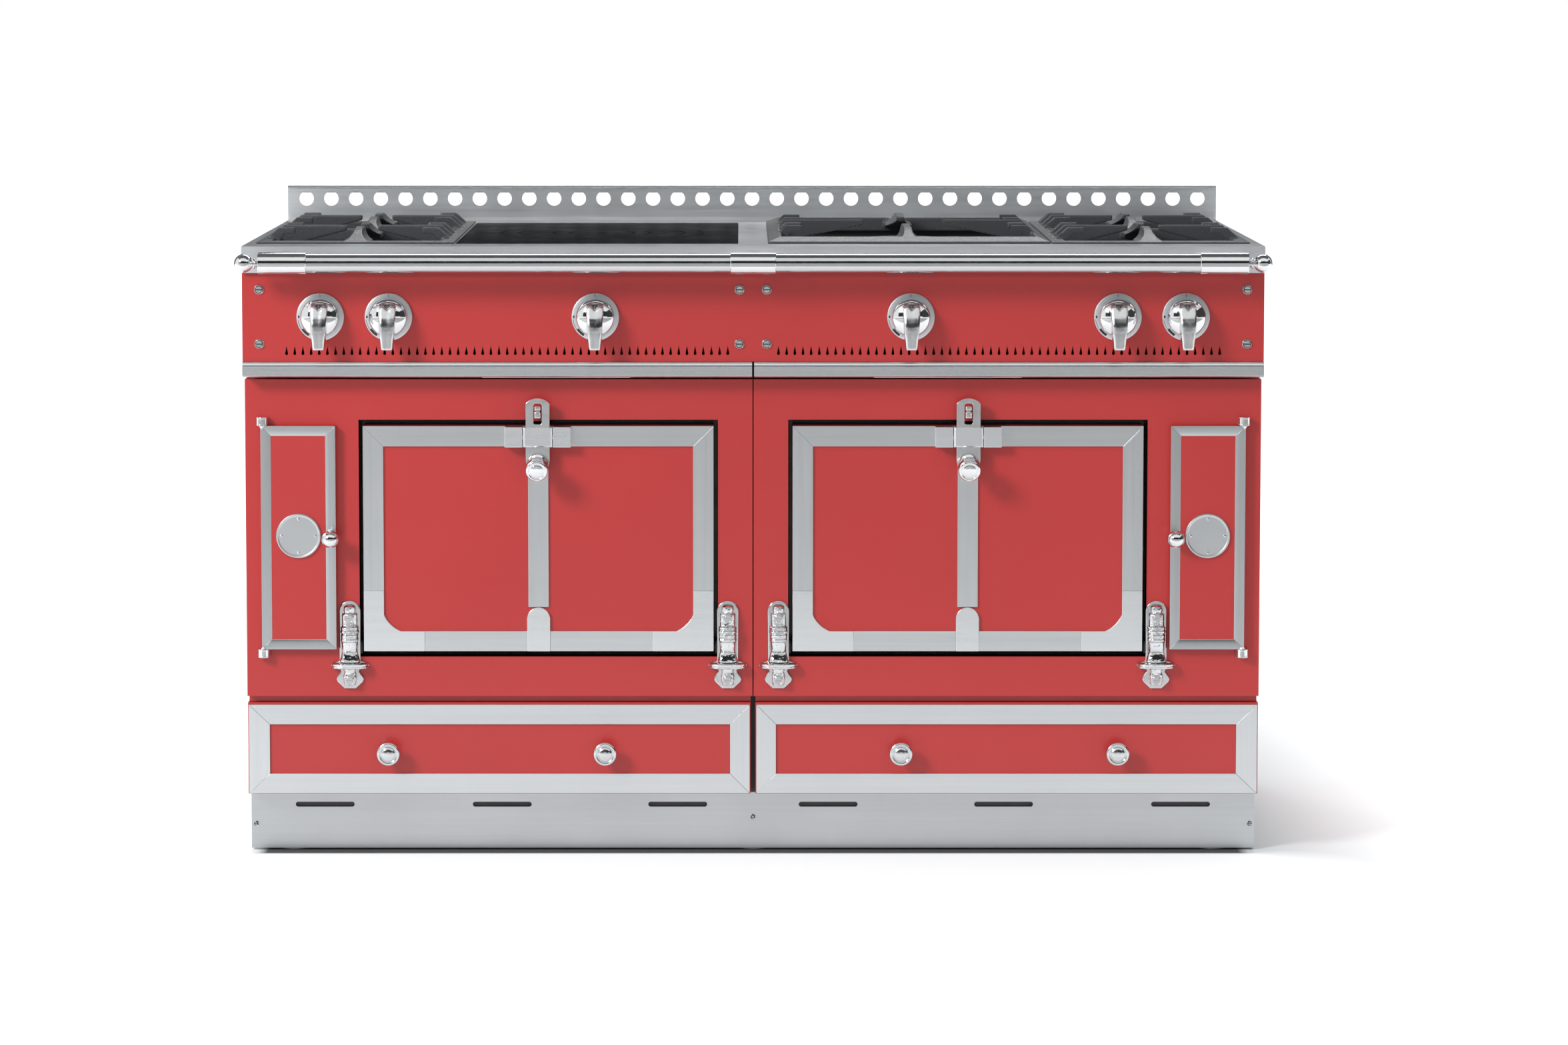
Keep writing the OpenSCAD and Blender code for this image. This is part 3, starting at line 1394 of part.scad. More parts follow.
// Fingers and legs on the two sides of one burner
module side_fingers(x, y_mid, tip_gap, legs) {
    half = (x[1] - x[0]) / 2;
    mid = (x[0] + x[1]) / 2;
    for (s = [-1, 1]) {
        translate([mid, 0, hob_h])
            mirror([s < 0 ? 0 : 1, 0, 0])
                translate([-half, 0, 0]) {
                    front_plate(y_mid - finger_t / 2, finger_t) finger_outline(half - tip_gap, 46);
                    for (dy = legs)
                        front_plate(y_mid + dy - finger_t / 2, finger_t) leg_outline();
                }
    }
}

// Flared spike from a rim or crossbar towards a burner: dir 1 points to the back
module spike(x_mid, y_root, reach, dir) {
    translate([x_mid, y_root, hob_h])
        mirror([0, dir < 0 ? 1 : 0, 0])
            intersection() {
                side_plate(-22, 44)
                    polygon([[4, 0], [4, rim_edge], [16, rim_edge + 4], [34, 13], [52, 17.5], [72, rest_h],
                        [reach, rest_h], [reach + 1, rest_h - 1.5], [reach, rest_h - 8], [48, -6], [rim_seat + 2, -6],
                        [rim_seat + 2, 0]]);
                front_plate(0, reach + 10)
                    polygon([[-21, -10], [-21, 2], [-15, 5], [-10, 9], [-7, 14], [-5, rest_h + 4], [5, rest_h + 4],
                        [7, 14], [10, 9], [15, 5], [21, 2], [21, -10]]);
            }
}

// Outer pan support: spikes on its rim and on its crossbar point at the two burners
module double_grate() {
    x = [zone_mid + plate_gap, zone_out];
    y = [y_zone, y_zone_back];
    mid = (x[0] + x[1]) / 2;
    bar = 12;
    reach = zone_len / 4 - outer_tip_gap;
    union() {
        grate_rim(x, y, 1);
        span([x[0] + 14, x[1] - 14], [y_zone_mid - bar / 2, y_zone_mid + bar / 2],
            [hob_h - skirt_drop, hob_h + rim_edge + 4]);
        for (b = burner_ys)
            side_fingers(x, b, outer_tip_gap, [-67, 67]);
        spike(mid, y[0], reach, 1);
        spike(mid, y[1], reach, -1);
        spike(mid, y_zone_mid - bar / 2 - 3, reach - bar / 2, 1);
        spike(mid, y_zone_mid + bar / 2 + 3, reach - bar / 2, -1);
    }
}

module grate(side) {
    color([0.22, 0.23, 0.24])
        on_side(side) double_grate();
}

module grate_large() {
    x = [zone_in, zone_mid - plate_gap];
    y = [y_zone, y_zone_back];
    mid = (x[0] + x[1]) / 2;
    reach = zone_len / 2 - large_tip_gap - 34;
    color([0.22, 0.23, 0.24])
        union() {
            grate_rim(x, y, large_rise);
            side_fingers(x, y_zone_mid, large_tip_gap, [-150, -67, 67, 150]);
            spike(mid, y[0], reach, 1);
            spike(mid, y[1], reach, -1);
        }
}

module hot_plate() {
    x = [-zone_mid + 2 * plate_gap, -zone_in - plate_gap];
    y = [y_zone + plate_gap, y_zone_back - plate_gap];
    groove = 1.2;
    color([0.20, 0.20, 0.21])
        difference() {
            span(x, y, [hob_h - hot_plate_t, hob_h]);
            translate([-inner_x, y_zone_mid, hob_h - hot_plate_t - cut]) cylinder(d = lid_d - 16, h = hot_plate_t + 2 * cut);
            translate([-inner_x, y_zone_mid, hob_h - hot_plate_t / 2]) cylinder(d = lid_d, h = hot_plate_t);
            translate([-inner_x, y_zone_mid, hob_h - groove])
                rotate_extrude()
                    for (r = [156, 128]) translate([r - 1, 0]) square([2, groove + cut]);
        }
}

module hot_plate_lid() {
    groove = 1.2;
    t = hot_plate_t / 2;
    color([0.20, 0.20, 0.21])
        translate([-inner_x, y_zone_mid, hob_h - t])
            difference() {
                cylinder(d = lid_d - 2 * clear, h = t);
                translate([0, 0, t - groove])
                    rotate_extrude()
                        for (r = [25, 50, 75]) translate([r - 1, 0]) square([2, groove + cut]);
                translate([0, 0, -cut]) cylinder(d = 14, h = t + 2 * cut);
            }
}

base_frame();
leveling_feet();
plinth();
casing_panels();
oven_front("left");  // oven_front_left
oven_front("right");  // oven_front_right
control_panel();
front_screws();
front_mouldings();
hob_top();
backguard();
burner_heads();
burner_caps();
gas_manifold();
gas_pipes();
towel_rail();
knob_bezels();
oven_liner("left");  // oven_liner_left
oven_liner("right");  // oven_liner_right
oven_racks();
oven_elements();
door_hinges();
latch_keepers();
drawer_runners();
control_niches();
spindle(1);  // spindle_1
spindle(2);  // spindle_2
spindle(3);  // spindle_3
spindle(4);  // spindle_4
spindle(5);  // spindle_5
spindle(6);  // spindle_6
knob(1);  // knob_1
knob(2);  // knob_2
knob(3);  // knob_3
knob(4);  // knob_4
knob(5);  // knob_5
knob(6);  // knob_6
oven_door("left");  // oven_door_left
oven_door("right");  // oven_door_right
door_straps("left");  // door_straps_left
door_straps("right");  // door_straps_right
latch("left");  // latch_left
latch("right");  // latch_right
side_door("left");  // side_door_left
side_door("right");  // side_door_right
side_trim("left");  // side_trim_left
side_trim("right");  // side_trim_right
drawer_box("left");  // drawer_box_left
drawer_box("right");  // drawer_box_right
drawer_front("left");  // drawer_front_left
drawer_front("right");  // drawer_front_right
drawer_trim("left");  // drawer_trim_left
drawer_trim("right");  // drawer_trim_right
grate("left");  // grate_left
grate_large();
grate("right");  // grate_right
hot_plate();
hot_plate_lid();
thermostat_knob("left");  // thermostat_knob_left
thermostat_knob("right");  // thermostat_knob_right
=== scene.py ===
import json
import math

import bmesh
import bpy
from mathutils import Matrix, Vector


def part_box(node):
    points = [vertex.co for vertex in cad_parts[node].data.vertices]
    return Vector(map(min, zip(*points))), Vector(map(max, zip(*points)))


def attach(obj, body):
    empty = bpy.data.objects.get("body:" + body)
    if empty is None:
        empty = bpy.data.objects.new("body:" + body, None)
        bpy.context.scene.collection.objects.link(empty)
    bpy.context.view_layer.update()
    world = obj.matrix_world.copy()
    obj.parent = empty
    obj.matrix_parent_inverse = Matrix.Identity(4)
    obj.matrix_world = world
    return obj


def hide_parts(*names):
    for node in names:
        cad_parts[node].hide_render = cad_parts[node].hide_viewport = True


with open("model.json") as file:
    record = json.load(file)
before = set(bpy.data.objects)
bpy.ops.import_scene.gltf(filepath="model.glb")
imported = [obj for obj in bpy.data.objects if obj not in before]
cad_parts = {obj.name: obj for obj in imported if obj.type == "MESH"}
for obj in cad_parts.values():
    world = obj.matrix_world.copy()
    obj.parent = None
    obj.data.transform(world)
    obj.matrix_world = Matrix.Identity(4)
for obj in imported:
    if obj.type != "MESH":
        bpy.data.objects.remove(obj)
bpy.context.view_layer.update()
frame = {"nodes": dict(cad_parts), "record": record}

MM = 0.001
SIDES = {"left": -1, "right": 1}
BODY_OF = {n: b for b, members in frame["record"]["behaviour"]["bodies"].items() for n in members}
SCENE = bpy.context.scene

# Camera, from a perspective fit of the photograph, with a little shift to keep its uprights upright
PHOTO_W = 2352
CAMERA_AT = (-0.018, -6.8315, 1.315)
FOCAL_PX = 6684
SENSOR = 36
SHIFT_X = 0.0275
SHIFT_Y = -0.13
TILT = math.radians(4.489)


def make_camera():
    data = bpy.data.cameras.new("camera")
    data.sensor_width = SENSOR
    data.lens = FOCAL_PX / PHOTO_W * SENSOR
    data.shift_x = SHIFT_X
    data.shift_y = SHIFT_Y
    camera = bpy.data.objects.new("camera", data)
    camera.location = CAMERA_AT
    camera.rotation_euler = (math.pi / 2 - TILT, 0, 0)
    SCENE.collection.objects.link(camera)
    SCENE.camera = camera


# Materials

class Nodes:
    """A node tree, with short ways to add nodes and join them."""

    def __init__(self, tree):
        self.tree = tree
        tree.nodes.clear()

    def add(self, kind, **settings):
        node = self.tree.nodes.new(kind)
        for key, value in settings.items():
            setattr(node, key, value)
        return node

    def put(self, value, socket):
        """Joins or sets one socket."""
        if isinstance(value, bpy.types.NodeSocket):
            self.tree.links.new(value, socket)
        else:
            socket.default_value = value

    def fill(self, node, **inputs):
        for key, value in inputs.items():
            self.put(value, node.inputs[key.replace("_", " ")])
        return node

    def row(self, node, *values):
        """Fills a node's first inputs in their order."""
        for value, socket in zip(values, node.inputs):
            self.put(value, socket)
        return node

    def spread(self, value, low, high, from_low=0.3, from_high=0.7):
        node = self.add("ShaderNodeMapRange")
        self.fill(node, Value=value, From_Min=from_low, From_Max=from_high, To_Min=low, To_Max=high)
        return node.outputs["Result"]

    def maths(self, operation, *values):
        return self.row(self.add("ShaderNodeMath", operation=operation), *values).outputs["Value"]

    def vector(self, operation, *values):
        return self.row(self.add("ShaderNodeVectorMath", operation=operation), *values).outputs

    def split(self, vector):
        return self.row(self.add("ShaderNodeSeparateXYZ"), vector).outputs

    def seen_directly(self):
        """1 for the camera and for mirrors, and 0 for light that a surface scatters."""
        rays = self.add("ShaderNodeLightPath")
        glossy = self.maths("MAXIMUM", rays.outputs["Is Camera Ray"], rays.outputs["Is Glossy Ray"])
        return self.maths("MAXIMUM", glossy, rays.outputs["Is Transmission Ray"])


class Shader(Nodes):
    """One material's node tree."""

    def __init__(self, name):
        self.material = bpy.data.materials.new(name)
        self.material.use_nodes = True
        super().__init__(self.material.node_tree)
        self.surface = self.add("ShaderNodeBsdfPrincipled")
        self.output = self.row(self.add("ShaderNodeOutputMaterial"), self.surface.outputs[0])
        self.place = self.add("ShaderNodeTexCoord").outputs["Object"]

    def mapped(self, scale):
        return self.fill(self.add("ShaderNodeMapping"), Vector=self.place, Scale=scale).outputs["Vector"]

    def grain(self, vector, detail=2.0, roughness=0.5):
        node = self.add("ShaderNodeTexNoise")
        return self.fill(node, Vector=vector, Scale=1.0, Detail=detail, Roughness=roughness).outputs["Fac"]

    def noise(self, scale, detail=2.0, roughness=0.5):
        size = (scale,) * 3 if isinstance(scale, (int, float)) else scale
        return self.grain(self.mapped(size), detail, roughness)

    def cells(self, scale):
        node = self.add("ShaderNodeTexVoronoi")
        return self.fill(node, Vector=self.mapped((scale,) * 3), Scale=1.0).outputs

    def blend(self, factor, first, second):
        node = self.add("ShaderNodeMix", data_type="RGBA")
        self.put(factor, node.inputs["Factor"])
        for colour, socket in zip((first, second), [s for s in node.inputs if s.type == "RGBA"]):
            self.put((*colour, 1) if isinstance(colour, tuple) else colour, socket)
        return [s for s in node.outputs if s.type == "RGBA"][0]

    def bump(self, height, strength, distance, below=None):
        node = self.fill(self.add("ShaderNodeBump"), Height=height, Strength=strength, Distance=distance)
        if below:
            self.fill(node, Normal=below)
        return node.outputs["Normal"]

    def finish(self, **inputs):
        self.fill(self.surface, **inputs)
        return self.material


def shade(colour, factor):
    return tuple(min(1.0, c * factor) for c in colour)


def grain_scale(axis, along, across):
    return tuple(along if a == axis else across for a in "xyz")


def brushed(name, colour, axis, roughness=0.32, tone=0.07, relief=0.10, foot=None):
    """Steel ground along one axis: fine scratches, broader streaks and faint wiping marks.
    Below the height foot a painted highlight makes it brighter, as where a sheet bends into the light."""
    s = Shader(name)
    fine = s.noise(grain_scale(axis, 9, 1500), detail=3)
    broad = s.noise(grain_scale(axis, 1.5, 120), detail=4, roughness=0.6)
    smudge = s.noise(7, detail=4, roughness=0.6)
    streak = s.maths("MULTIPLY_ADD", broad, 0.6, s.maths("MULTIPLY", fine, 0.4))
    base = s.blend(s.spread(streak, 0, 1), shade(colour, 1 - tone), shade(colour, 1 + tone))
    # Painted highlight: below the foot's top the steel takes a brighter copy of its colour.
    if foot:
        painted_highlight = s.spread(s.split(s.place)["Z"], 1, 0, foot - MM, foot + MM)
        base = s.blend(painted_highlight, base, shade(colour, FOOT_LIGHT))
    rough = s.maths("ADD", s.spread(streak, roughness - 0.05, roughness + 0.06),
                    s.spread(smudge, -0.03, 0.04))
    return s.finish(Base_Color=base, Metallic=1.0, Roughness=rough, Normal=s.bump(fine, relief, 0.0004))


def polished(name, colour, roughness=0.05, ripple=0.02, swell=140):
    """Chrome: nearly a mirror, with a faint casting ripple and wiping haze."""
    s = Shader(name)
    haze = s.noise(60, detail=4, roughness=0.6)
    soft = s.noise(swell, detail=1)
    base = s.blend(s.spread(haze, 0, 1), shade(colour, 0.96), colour)
    rough = s.spread(haze, roughness * 0.7, roughness * 1.8)
    return s.finish(Base_Color=base, Metallic=1.0, Roughness=rough, Normal=s.bump(soft, ripple, 0.002))


def enamel(name, colour, roughness=0.36):
    """Stoved enamel: slight orange peel, slow drift of tone and a thin gloss coat."""
    s = Shader(name)
    drift = s.noise(1.6, detail=3)
    peel = s.noise(420, detail=2)
    swell = s.noise(45, detail=2)
    base = s.blend(s.spread(drift, 0, 1), shade(colour, 0.94), shade(colour, 1.04))
    rough = s.spread(s.noise(18, detail=4), roughness - 0.04, roughness + 0.05)
    normal = s.bump(swell, 0.05, 0.002, s.bump(peel, 0.06, 0.0006))
    return s.finish(Base_Color=base, Roughness=rough, Normal=normal, Coat_Weight=0.3, Coat_Roughness=0.22)


def cast(name, colour, roughness=0.55, grit=0.5, metallic=0.0):
    """Sand-cast iron under a thin matt enamel: fine grit with some larger dimples."""
    s = Shader(name)
    fine = s.noise(1500, detail=3, roughness=0.6)
    coarse = s.noise(420, detail=3, roughness=0.55)
    patch = s.noise(22, detail=4)
    speck = s.spread(fine, 0, 1, 0.42, 0.62)
    base = s.blend(speck, shade(colour, 0.72), shade(colour, 1.35))
    base = s.blend(s.spread(patch, 0.0, 0.35), base, shade(colour, 0.8))
    rough = s.spread(coarse, roughness - 0.12, roughness + 0.12)
    normal = s.bump(coarse, grit, 0.0008, s.bump(fine, grit * 0.8, 0.0004))
    return s.finish(Base_Color=base, Roughness=rough, Normal=normal, Metallic=metallic)


def machined(name, colour, centre, roughness=0.3):
    """A turned plate: rings about an upright axis through centre, a heat tint and wiping marks."""
    s = Shader(name)
    away = s.vector("SUBTRACT", s.place, centre)["Vector"]
    radius = s.vector("LENGTH", s.vector("MULTIPLY", away, (1, 1, 0))["Vector"])["Value"]

    def rings(pitch, detail):
        line = s.fill(s.add("ShaderNodeCombineXYZ"), X=s.maths("MULTIPLY", radius, pitch))
        return s.grain(line.outputs[0], detail)

    fine, broad = rings(900, 2), rings(42, 1)
    stain = s.noise(14, detail=5, roughness=0.6)
    tone = s.maths("MULTIPLY", s.spread(broad, 0.0, 1.0), s.spread(stain, 0.5, 1.0))
    base = s.blend(tone, shade(colour, 0.7), shade(colour, 1.5))
    rough = s.maths("ADD", s.spread(fine, roughness - 0.06, roughness + 0.08), s.spread(stain, -0.04, 0.06))
    return s.finish(Base_Color=base, Metallic=1.0, Roughness=rough, Specular_Tint=(0.3, 0.3, 0.31, 1),
                    Normal=s.bump(fine, 0.08, 0.0003))


def speckled(name, colour, fleck, roughness=0.22):
    """Vitreous enamel of an oven: glossy and dark with tiny pale flecks."""
    s = Shader(name)
    some = s.spread(s.cells(260)["Distance"], 1, 0, 0.06, 0.12)
    keep = s.maths("MULTIPLY", some, s.spread(s.noise(90), 0, 1, 0.5, 0.56))
    base = s.blend(keep, colour, fleck)
    rough = s.spread(s.noise(30, detail=4), roughness - 0.05, roughness + 0.1)
    return s.finish(Base_Color=base, Roughness=rough, Normal=s.bump(s.noise(160), 0.08, 0.001))


def moulded(name, colour, roughness=0.45):
    s = Shader(name)
    grit = s.noise(900, detail=2)
    base = s.blend(s.spread(s.noise(40, detail=3), 0, 1), shade(colour, 0.85), shade(colour, 1.15))
    return s.finish(Base_Color=base, Roughness=s.spread(grit, roughness - 0.05, roughness + 0.08),
                    Normal=s.bump(grit, 0.15, 0.0003))


def spangled(name, colour, roughness=0.42):
    """Zinc-coated sheet: large dull crystals."""
    s = Shader(name)
    base = s.blend(s.spread(s.cells(70)["Color"], 0, 1, 0, 1), shade(colour, 0.85), shade(colour, 1.12))
    return s.finish(Base_Color=base, Metallic=0.6, Normal=s.bump(s.noise(300), 0.06, 0.0005),
                    Roughness=s.spread(s.noise(60, detail=4), roughness - 0.06, roughness + 0.08))


def hob_steel(name, top, front, well):
    """Brushed steel with painted light and shade: brighter on the upright folds than on top, and darkened
    with painted shade down in the wells.
    """
    s = Shader(name)
    fine = s.noise(grain_scale("x", 9, 1500), detail=3)
    smudge = s.noise(5, detail=4, roughness=0.6)
    facing = s.split(s.add("ShaderNodeNewGeometry").outputs["True Normal"])
    upright = s.spread(facing["Z"], 1, 0, 0.3, 0.6)
    # Painted light: faces that stand upright take the brighter front colour, faces that look up the darker
    # top colour.
    base = s.blend(s.maths("MULTIPLY", upright, s.spread(fine, 0.9, 1)), top, front)
    place = s.split(s.place)
    # Painted shade: inside the wells, below the hob's top and behind its front fold, the steel takes the dark
    # well colour.
    edge = s.maths("SUBTRACT", WELL_EDGE, s.maths("ABSOLUTE", place["X"]))
    inside = s.maths("MULTIPLY", s.spread(edge, 0, 1, 0, MM), s.spread(place["Z"], 1, 0, *WELL_TOP))
    inside = s.maths("MULTIPLY", inside, s.spread(place["Y"], 0, 1, *WELL_FRONT))
    rough = s.maths("ADD", s.spread(upright, 0.31, 0.38, 0, 1), s.spread(smudge, -0.04, 0.06))
    return s.finish(Base_Color=s.blend(inside, base, well), Metallic=1.0, Roughness=rough,
                    Normal=s.bump(fine, 0.08, 0.0004))


RED = (0.520, 0.030, 0.029)
STEEL = (0.64, 0.66, 0.675)
WELL_EDGE = 0.745                                         # the painted shade of the wells lies within this x, in metres
WELL_TOP = (0.9055, 0.9085)                               # and below this height
WELL_FRONT = (-0.3175, -0.3165)                           # and behind the front fold
GUARD_FOOT, FOOT_LIGHT = 0.915, 1.5                       # top of the backguard's foot, and the brightness of the painted highlight below it
PLATE_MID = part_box("hot_plate_lid")[0].lerp(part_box("hot_plate_lid")[1], 0.5)


def steel(factor):
    return shade(STEEL, factor)


# The factors given to steel() below are painted light and shade: each part's copy of the same steel is made
# lighter or darker to stand as bright as that part looks lit. The hob's three are its top, its upright folds
# and its wells.
RECIPES = {
    "enamel_red": (enamel, RED),
    "steel_x": (brushed, STEEL, "x"),
    "steel_z": (brushed, STEEL, "z"),
    "drawer_x": (brushed, steel(1.02), "x", 0.38),
    "drawer_z": (brushed, steel(1.05), "z", 0.38),
    "guard": (brushed, steel(1.25), "x", 0.40, 0.07, 0.10, GUARD_FOOT),
    "plinth": (brushed, steel(0.82), "x", 0.36),
    "hob": (hob_steel, steel(0.7), steel(1.22), steel(0.16)),
    "trim_steel": (brushed, steel(0.98), "x", 0.26),
    "fine_steel": (brushed, steel(1.20), "x", 0.30, 0.03, 0.03),
    "bezel_steel": (brushed, steel(1.08), "x", 0.42, 0.03, 0.03),
    "side_x": (brushed, steel(0.84), "x"),
    "side_z": (brushed, steel(0.84), "z"),
    "plate_steel": (brushed, steel(0.98), "x", 0.34, 0.03, 0.03),
    "chrome": (polished, (0.76, 0.77, 0.78)),
    "lever_chrome": (polished, (0.66, 0.67, 0.68), 0.17),
    "cast_chrome": (polished, (0.68, 0.69, 0.70), 0.07, 0.55, 170),
    "rail_steel": (polished, (0.60, 0.61, 0.62), 0.09),
    "bright_steel": (polished, (0.66, 0.67, 0.68), 0.14),
    "cast_iron": (cast, (0.060, 0.064, 0.070), 0.40),
    "hot_plate": (machined, (0.034, 0.035, 0.037), PLATE_MID),
    "black_enamel": (speckled, (0.010, 0.010, 0.011), (0.10, 0.10, 0.10)),
    "brass": (polished, (0.62, 0.43, 0.19), 0.28, 0.05),
    "grey_frame": (moulded, (0.06, 0.06, 0.065)),
    "galvanised": (spangled, (0.46, 0.47, 0.48)),
    "plated_wire": (polished, (0.62, 0.62, 0.63), 0.16),
    "knob_black": (moulded, (0.018, 0.018, 0.020)),
    "mark": (moulded, (0.03, 0.03, 0.035), 0.5),
}
MATERIALS = {name: make(name, *rest) for name, (make, *rest) in RECIPES.items()}

# Meshes

SHARP = math.radians(32)
WELD = 0.00001
FLAT = math.radians(0.5)
AREA_SLACK = 1.01
NODES = frame["nodes"]


def smooth(mesh, angle=SHARP):
    mesh.polygons.foreach_set("use_smooth", [True] * len(mesh.polygons))
    mesh.set_sharp_from_angle(angle=angle)
    mesh.update()


def mesh_from(name, bm):
    """A mesh from a bmesh, which is freed."""
    mesh = bpy.data.meshes.new(name)
    bm.to_mesh(mesh)
    bm.free()
    return mesh


def place_piece(name, mesh, material, node):
    """Links a piece that rides with a CAD node and stands for it."""
    piece = bpy.data.objects.new(name, mesh)
    SCENE.collection.objects.link(piece)
    mesh.materials.clear()
    mesh.materials.append(MATERIALS[material])
    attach(piece, BODY_OF[node])
    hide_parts(node)
    return piece


def piece_from(name, bm, material, node, bevel=0.0, segments=2):
    """Turns a bmesh in metres into a piece."""
    mesh = mesh_from(name, bm)
    smooth(mesh)
    piece = place_piece(name, mesh, material, node)
    if bevel:
        add_bevel(piece, bevel, segments)
    return piece


def made(name, bm, material, node, bevel=0.0, segments=2):
    """The same for a new shape in millimetres."""
    bmesh.ops.recalc_face_normals(bm, faces=bm.faces)
    bmesh.ops.scale(bm, vec=(MM, MM, MM), verts=bm.verts)
    return piece_from(name, bm, material, node, bevel, segments)


def add_bevel(piece, width, segments):
    edge = piece.modifiers.new("edges", "BEVEL")
    edge.width = width
    edge.segments = segments
    edge.limit_method = "ANGLE"
    edge.angle_limit = SHARP
    edge.harden_normals = False
    edge.miter_outer = "MITER_ARC"
    even_normals(piece)


def even_normals(piece):
    """Keeps large flat faces flat where small ones round their edges."""
    weight = piece.modifiers.new("normals", "WEIGHTED_NORMAL")
    weight.keep_sharp = True
    weight.weight = 100


def evaluated(thing):
    """An object after its modifiers."""
    bpy.context.view_layer.update()
    return thing.evaluated_get(bpy.context.evaluated_depsgraph_get())


def shown_area(mesh):
    """The area that a mesh covers as it is drawn, in triangles."""
    mesh.calc_loop_triangles()
    return sum(triangle.area for triangle in mesh.loop_triangles)


def node_mesh(node, joining=True):
    """A welded copy of a CAD node's mesh, with flat areas joined into large faces."""
    bm = bmesh.new()
    bm.from_mesh(NODES[node].data)
    bmesh.ops.remove_doubles(bm, verts=bm.verts, dist=WELD)
    if joining:
        bmesh.ops.dissolve_limit(bm, angle_limit=FLAT, verts=bm.verts, edges=bm.edges)
    return bm


def dress(node, material, bevel):
    """Shows a CAD node as it is, with its edges eased. Where a joined face doesn't fill as it
    should, the faces stay in triangles."""
    piece = piece_from(f"{node}_skin", node_mesh(node), material, node, bevel)
    if shown_area(evaluated(piece).to_mesh()) > shown_area(NODES[node].data) * AREA_SLACK:
        bm = node_mesh(node, joining=False)
        bm.to_mesh(piece.data)
        bm.free()
        smooth(piece.data)
    if not bevel:
        even_normals(piece)


def prism(outline, low, high):
    """A solid from an outline of (x, z) points, from the plane y = low to y = high."""
    bm = bmesh.new()
    front = [bm.verts.new((x, low, z)) for x, z in outline]
    back = [bm.verts.new((x, high, z)) for x, z in outline]
    bm.faces.new(front)
    bm.faces.new(back[::-1])
    count = len(outline)
    for i in range(count):
        j = (i + 1) % count
        bm.faces.new((front[i], back[i], back[j], front[j]))
    return bm


def block(x, y, z):
    """A box from its ends on each axis."""
    low, high = (Vector(end) for end in zip(sorted(x), sorted(y), sorted(z)))
    bm = bmesh.new()
    bmesh.ops.create_cube(bm, size=1)
    grow = Matrix.Diagonal((*(high - low), 1))
    bmesh.ops.transform(bm, verts=bm.verts, matrix=Matrix.Translation((low + high) / 2) @ grow)
    return bm


def joined(parts):
    """One bmesh of several, which are freed."""
    whole = bmesh.new()
    for part in parts:
        spare = mesh_from("spare", part)
        whole.from_mesh(spare)
        bpy.data.meshes.remove(spare)
    return whole


def arc(centre, radius, start, end, steps=10):
    """Points along an arc, with its angles in degrees, counted from +x towards +z. Two radii, one
    for each axis, make it elliptic."""
    across, up = radius if isinstance(radius, tuple) else (radius, radius)
    turns = [math.radians(start + (end - start) * i / steps) for i in range(steps + 1)]
    return [(centre[0] + across * math.cos(a), centre[1] + up * math.sin(a)) for a in turns]


def ball(radius, middle, steps):
    """A ball's profile for lathe, with its middle at the height middle."""
    line = arc((0, middle), radius, -90, 90, steps)
    return [(0, middle - radius)] + line[1:-1] + [(0, middle + radius)]


def rounded(points, radius, steps=4):
    """An open line of (r, h) points with its inner corners rounded."""
    line = [points[0]]
    for before, corner, after in zip(points, points[1:], points[2:]):
        corner, before, after = Vector(corner), Vector(before), Vector(after)
        back, on = before - corner, after - corner
        reach = min(radius, back.length * 0.45, on.length * 0.45)
        first, last = corner + back.normalized() * reach, corner + on.normalized() * reach
        for i in range(steps + 1):
            t = i / steps
            line.append(tuple(first * (1 - t) ** 2 + corner * 2 * t * (1 - t) + last * t * t))
    line.append(points[-1])
    return line


def lathe(profile, origin, axis, turns=72):
    """A turned solid: profile is a line of (radius, height) along axis from origin."""
    spin = Vector((0, 0, 1)).rotation_difference(Vector(axis).normalized()).to_matrix().to_4x4()
    bm = bmesh.new()
    rings = []
    for radius, height in profile:
        if radius < 1e-7:
            rings.append([bm.verts.new((0, 0, height))])
            continue
        angles = [2 * math.pi * i / turns for i in range(turns)]
        rings.append([bm.verts.new((radius * math.cos(a), radius * math.sin(a), height)) for a in angles])
    for low, high in zip(rings, rings[1:]):
        for i in range(turns):
            j = (i + 1) % turns
            corners = [low[i % len(low)], low[j % len(low)], high[j % len(high)], high[i % len(high)]]
            corners = list(dict.fromkeys(corners))
            if len(corners) > 2:
                bm.faces.new(corners)
    for ring in (rings[0], rings[-1]):
        if len(ring) > 1:
            bm.faces.new(ring)
    bmesh.ops.transform(bm, verts=bm.verts, matrix=Matrix.Translation(origin) @ spin)
    return bm


def loft(sections):
    """A closed skin over rings of points that all have the same count."""
    bm = bmesh.new()
    rings = [[bm.verts.new(p) for p in ring] for ring in sections]
    count = len(rings[0])
    for low, high in zip(rings, rings[1:]):
        for i in range(count):
            j = (i + 1) % count
            bm.faces.new((low[i], low[j], high[j], high[i]))
    bm.faces.new(rings[0])
    bm.faces.new(rings[-1])
    return bm


def flow(t, knots):
    """The value at t on a soft line through (t, value) knots."""
    for (a, low), (b, high) in zip(knots, knots[1:]):
        if t <= b:
            u = max(0.0, min(1.0, (t - a) / (b - a)))
            return low + (high - low) * (u * u * (3 - 2 * u) + u) / 2
    return knots[-1][1]


def box_outline(x, z):
    return [(x[0], z[0]), (x[1], z[0]), (x[1], z[1]), (x[0], z[1])]


make_camera()

# Pieces that follow the CAD meshes as they are

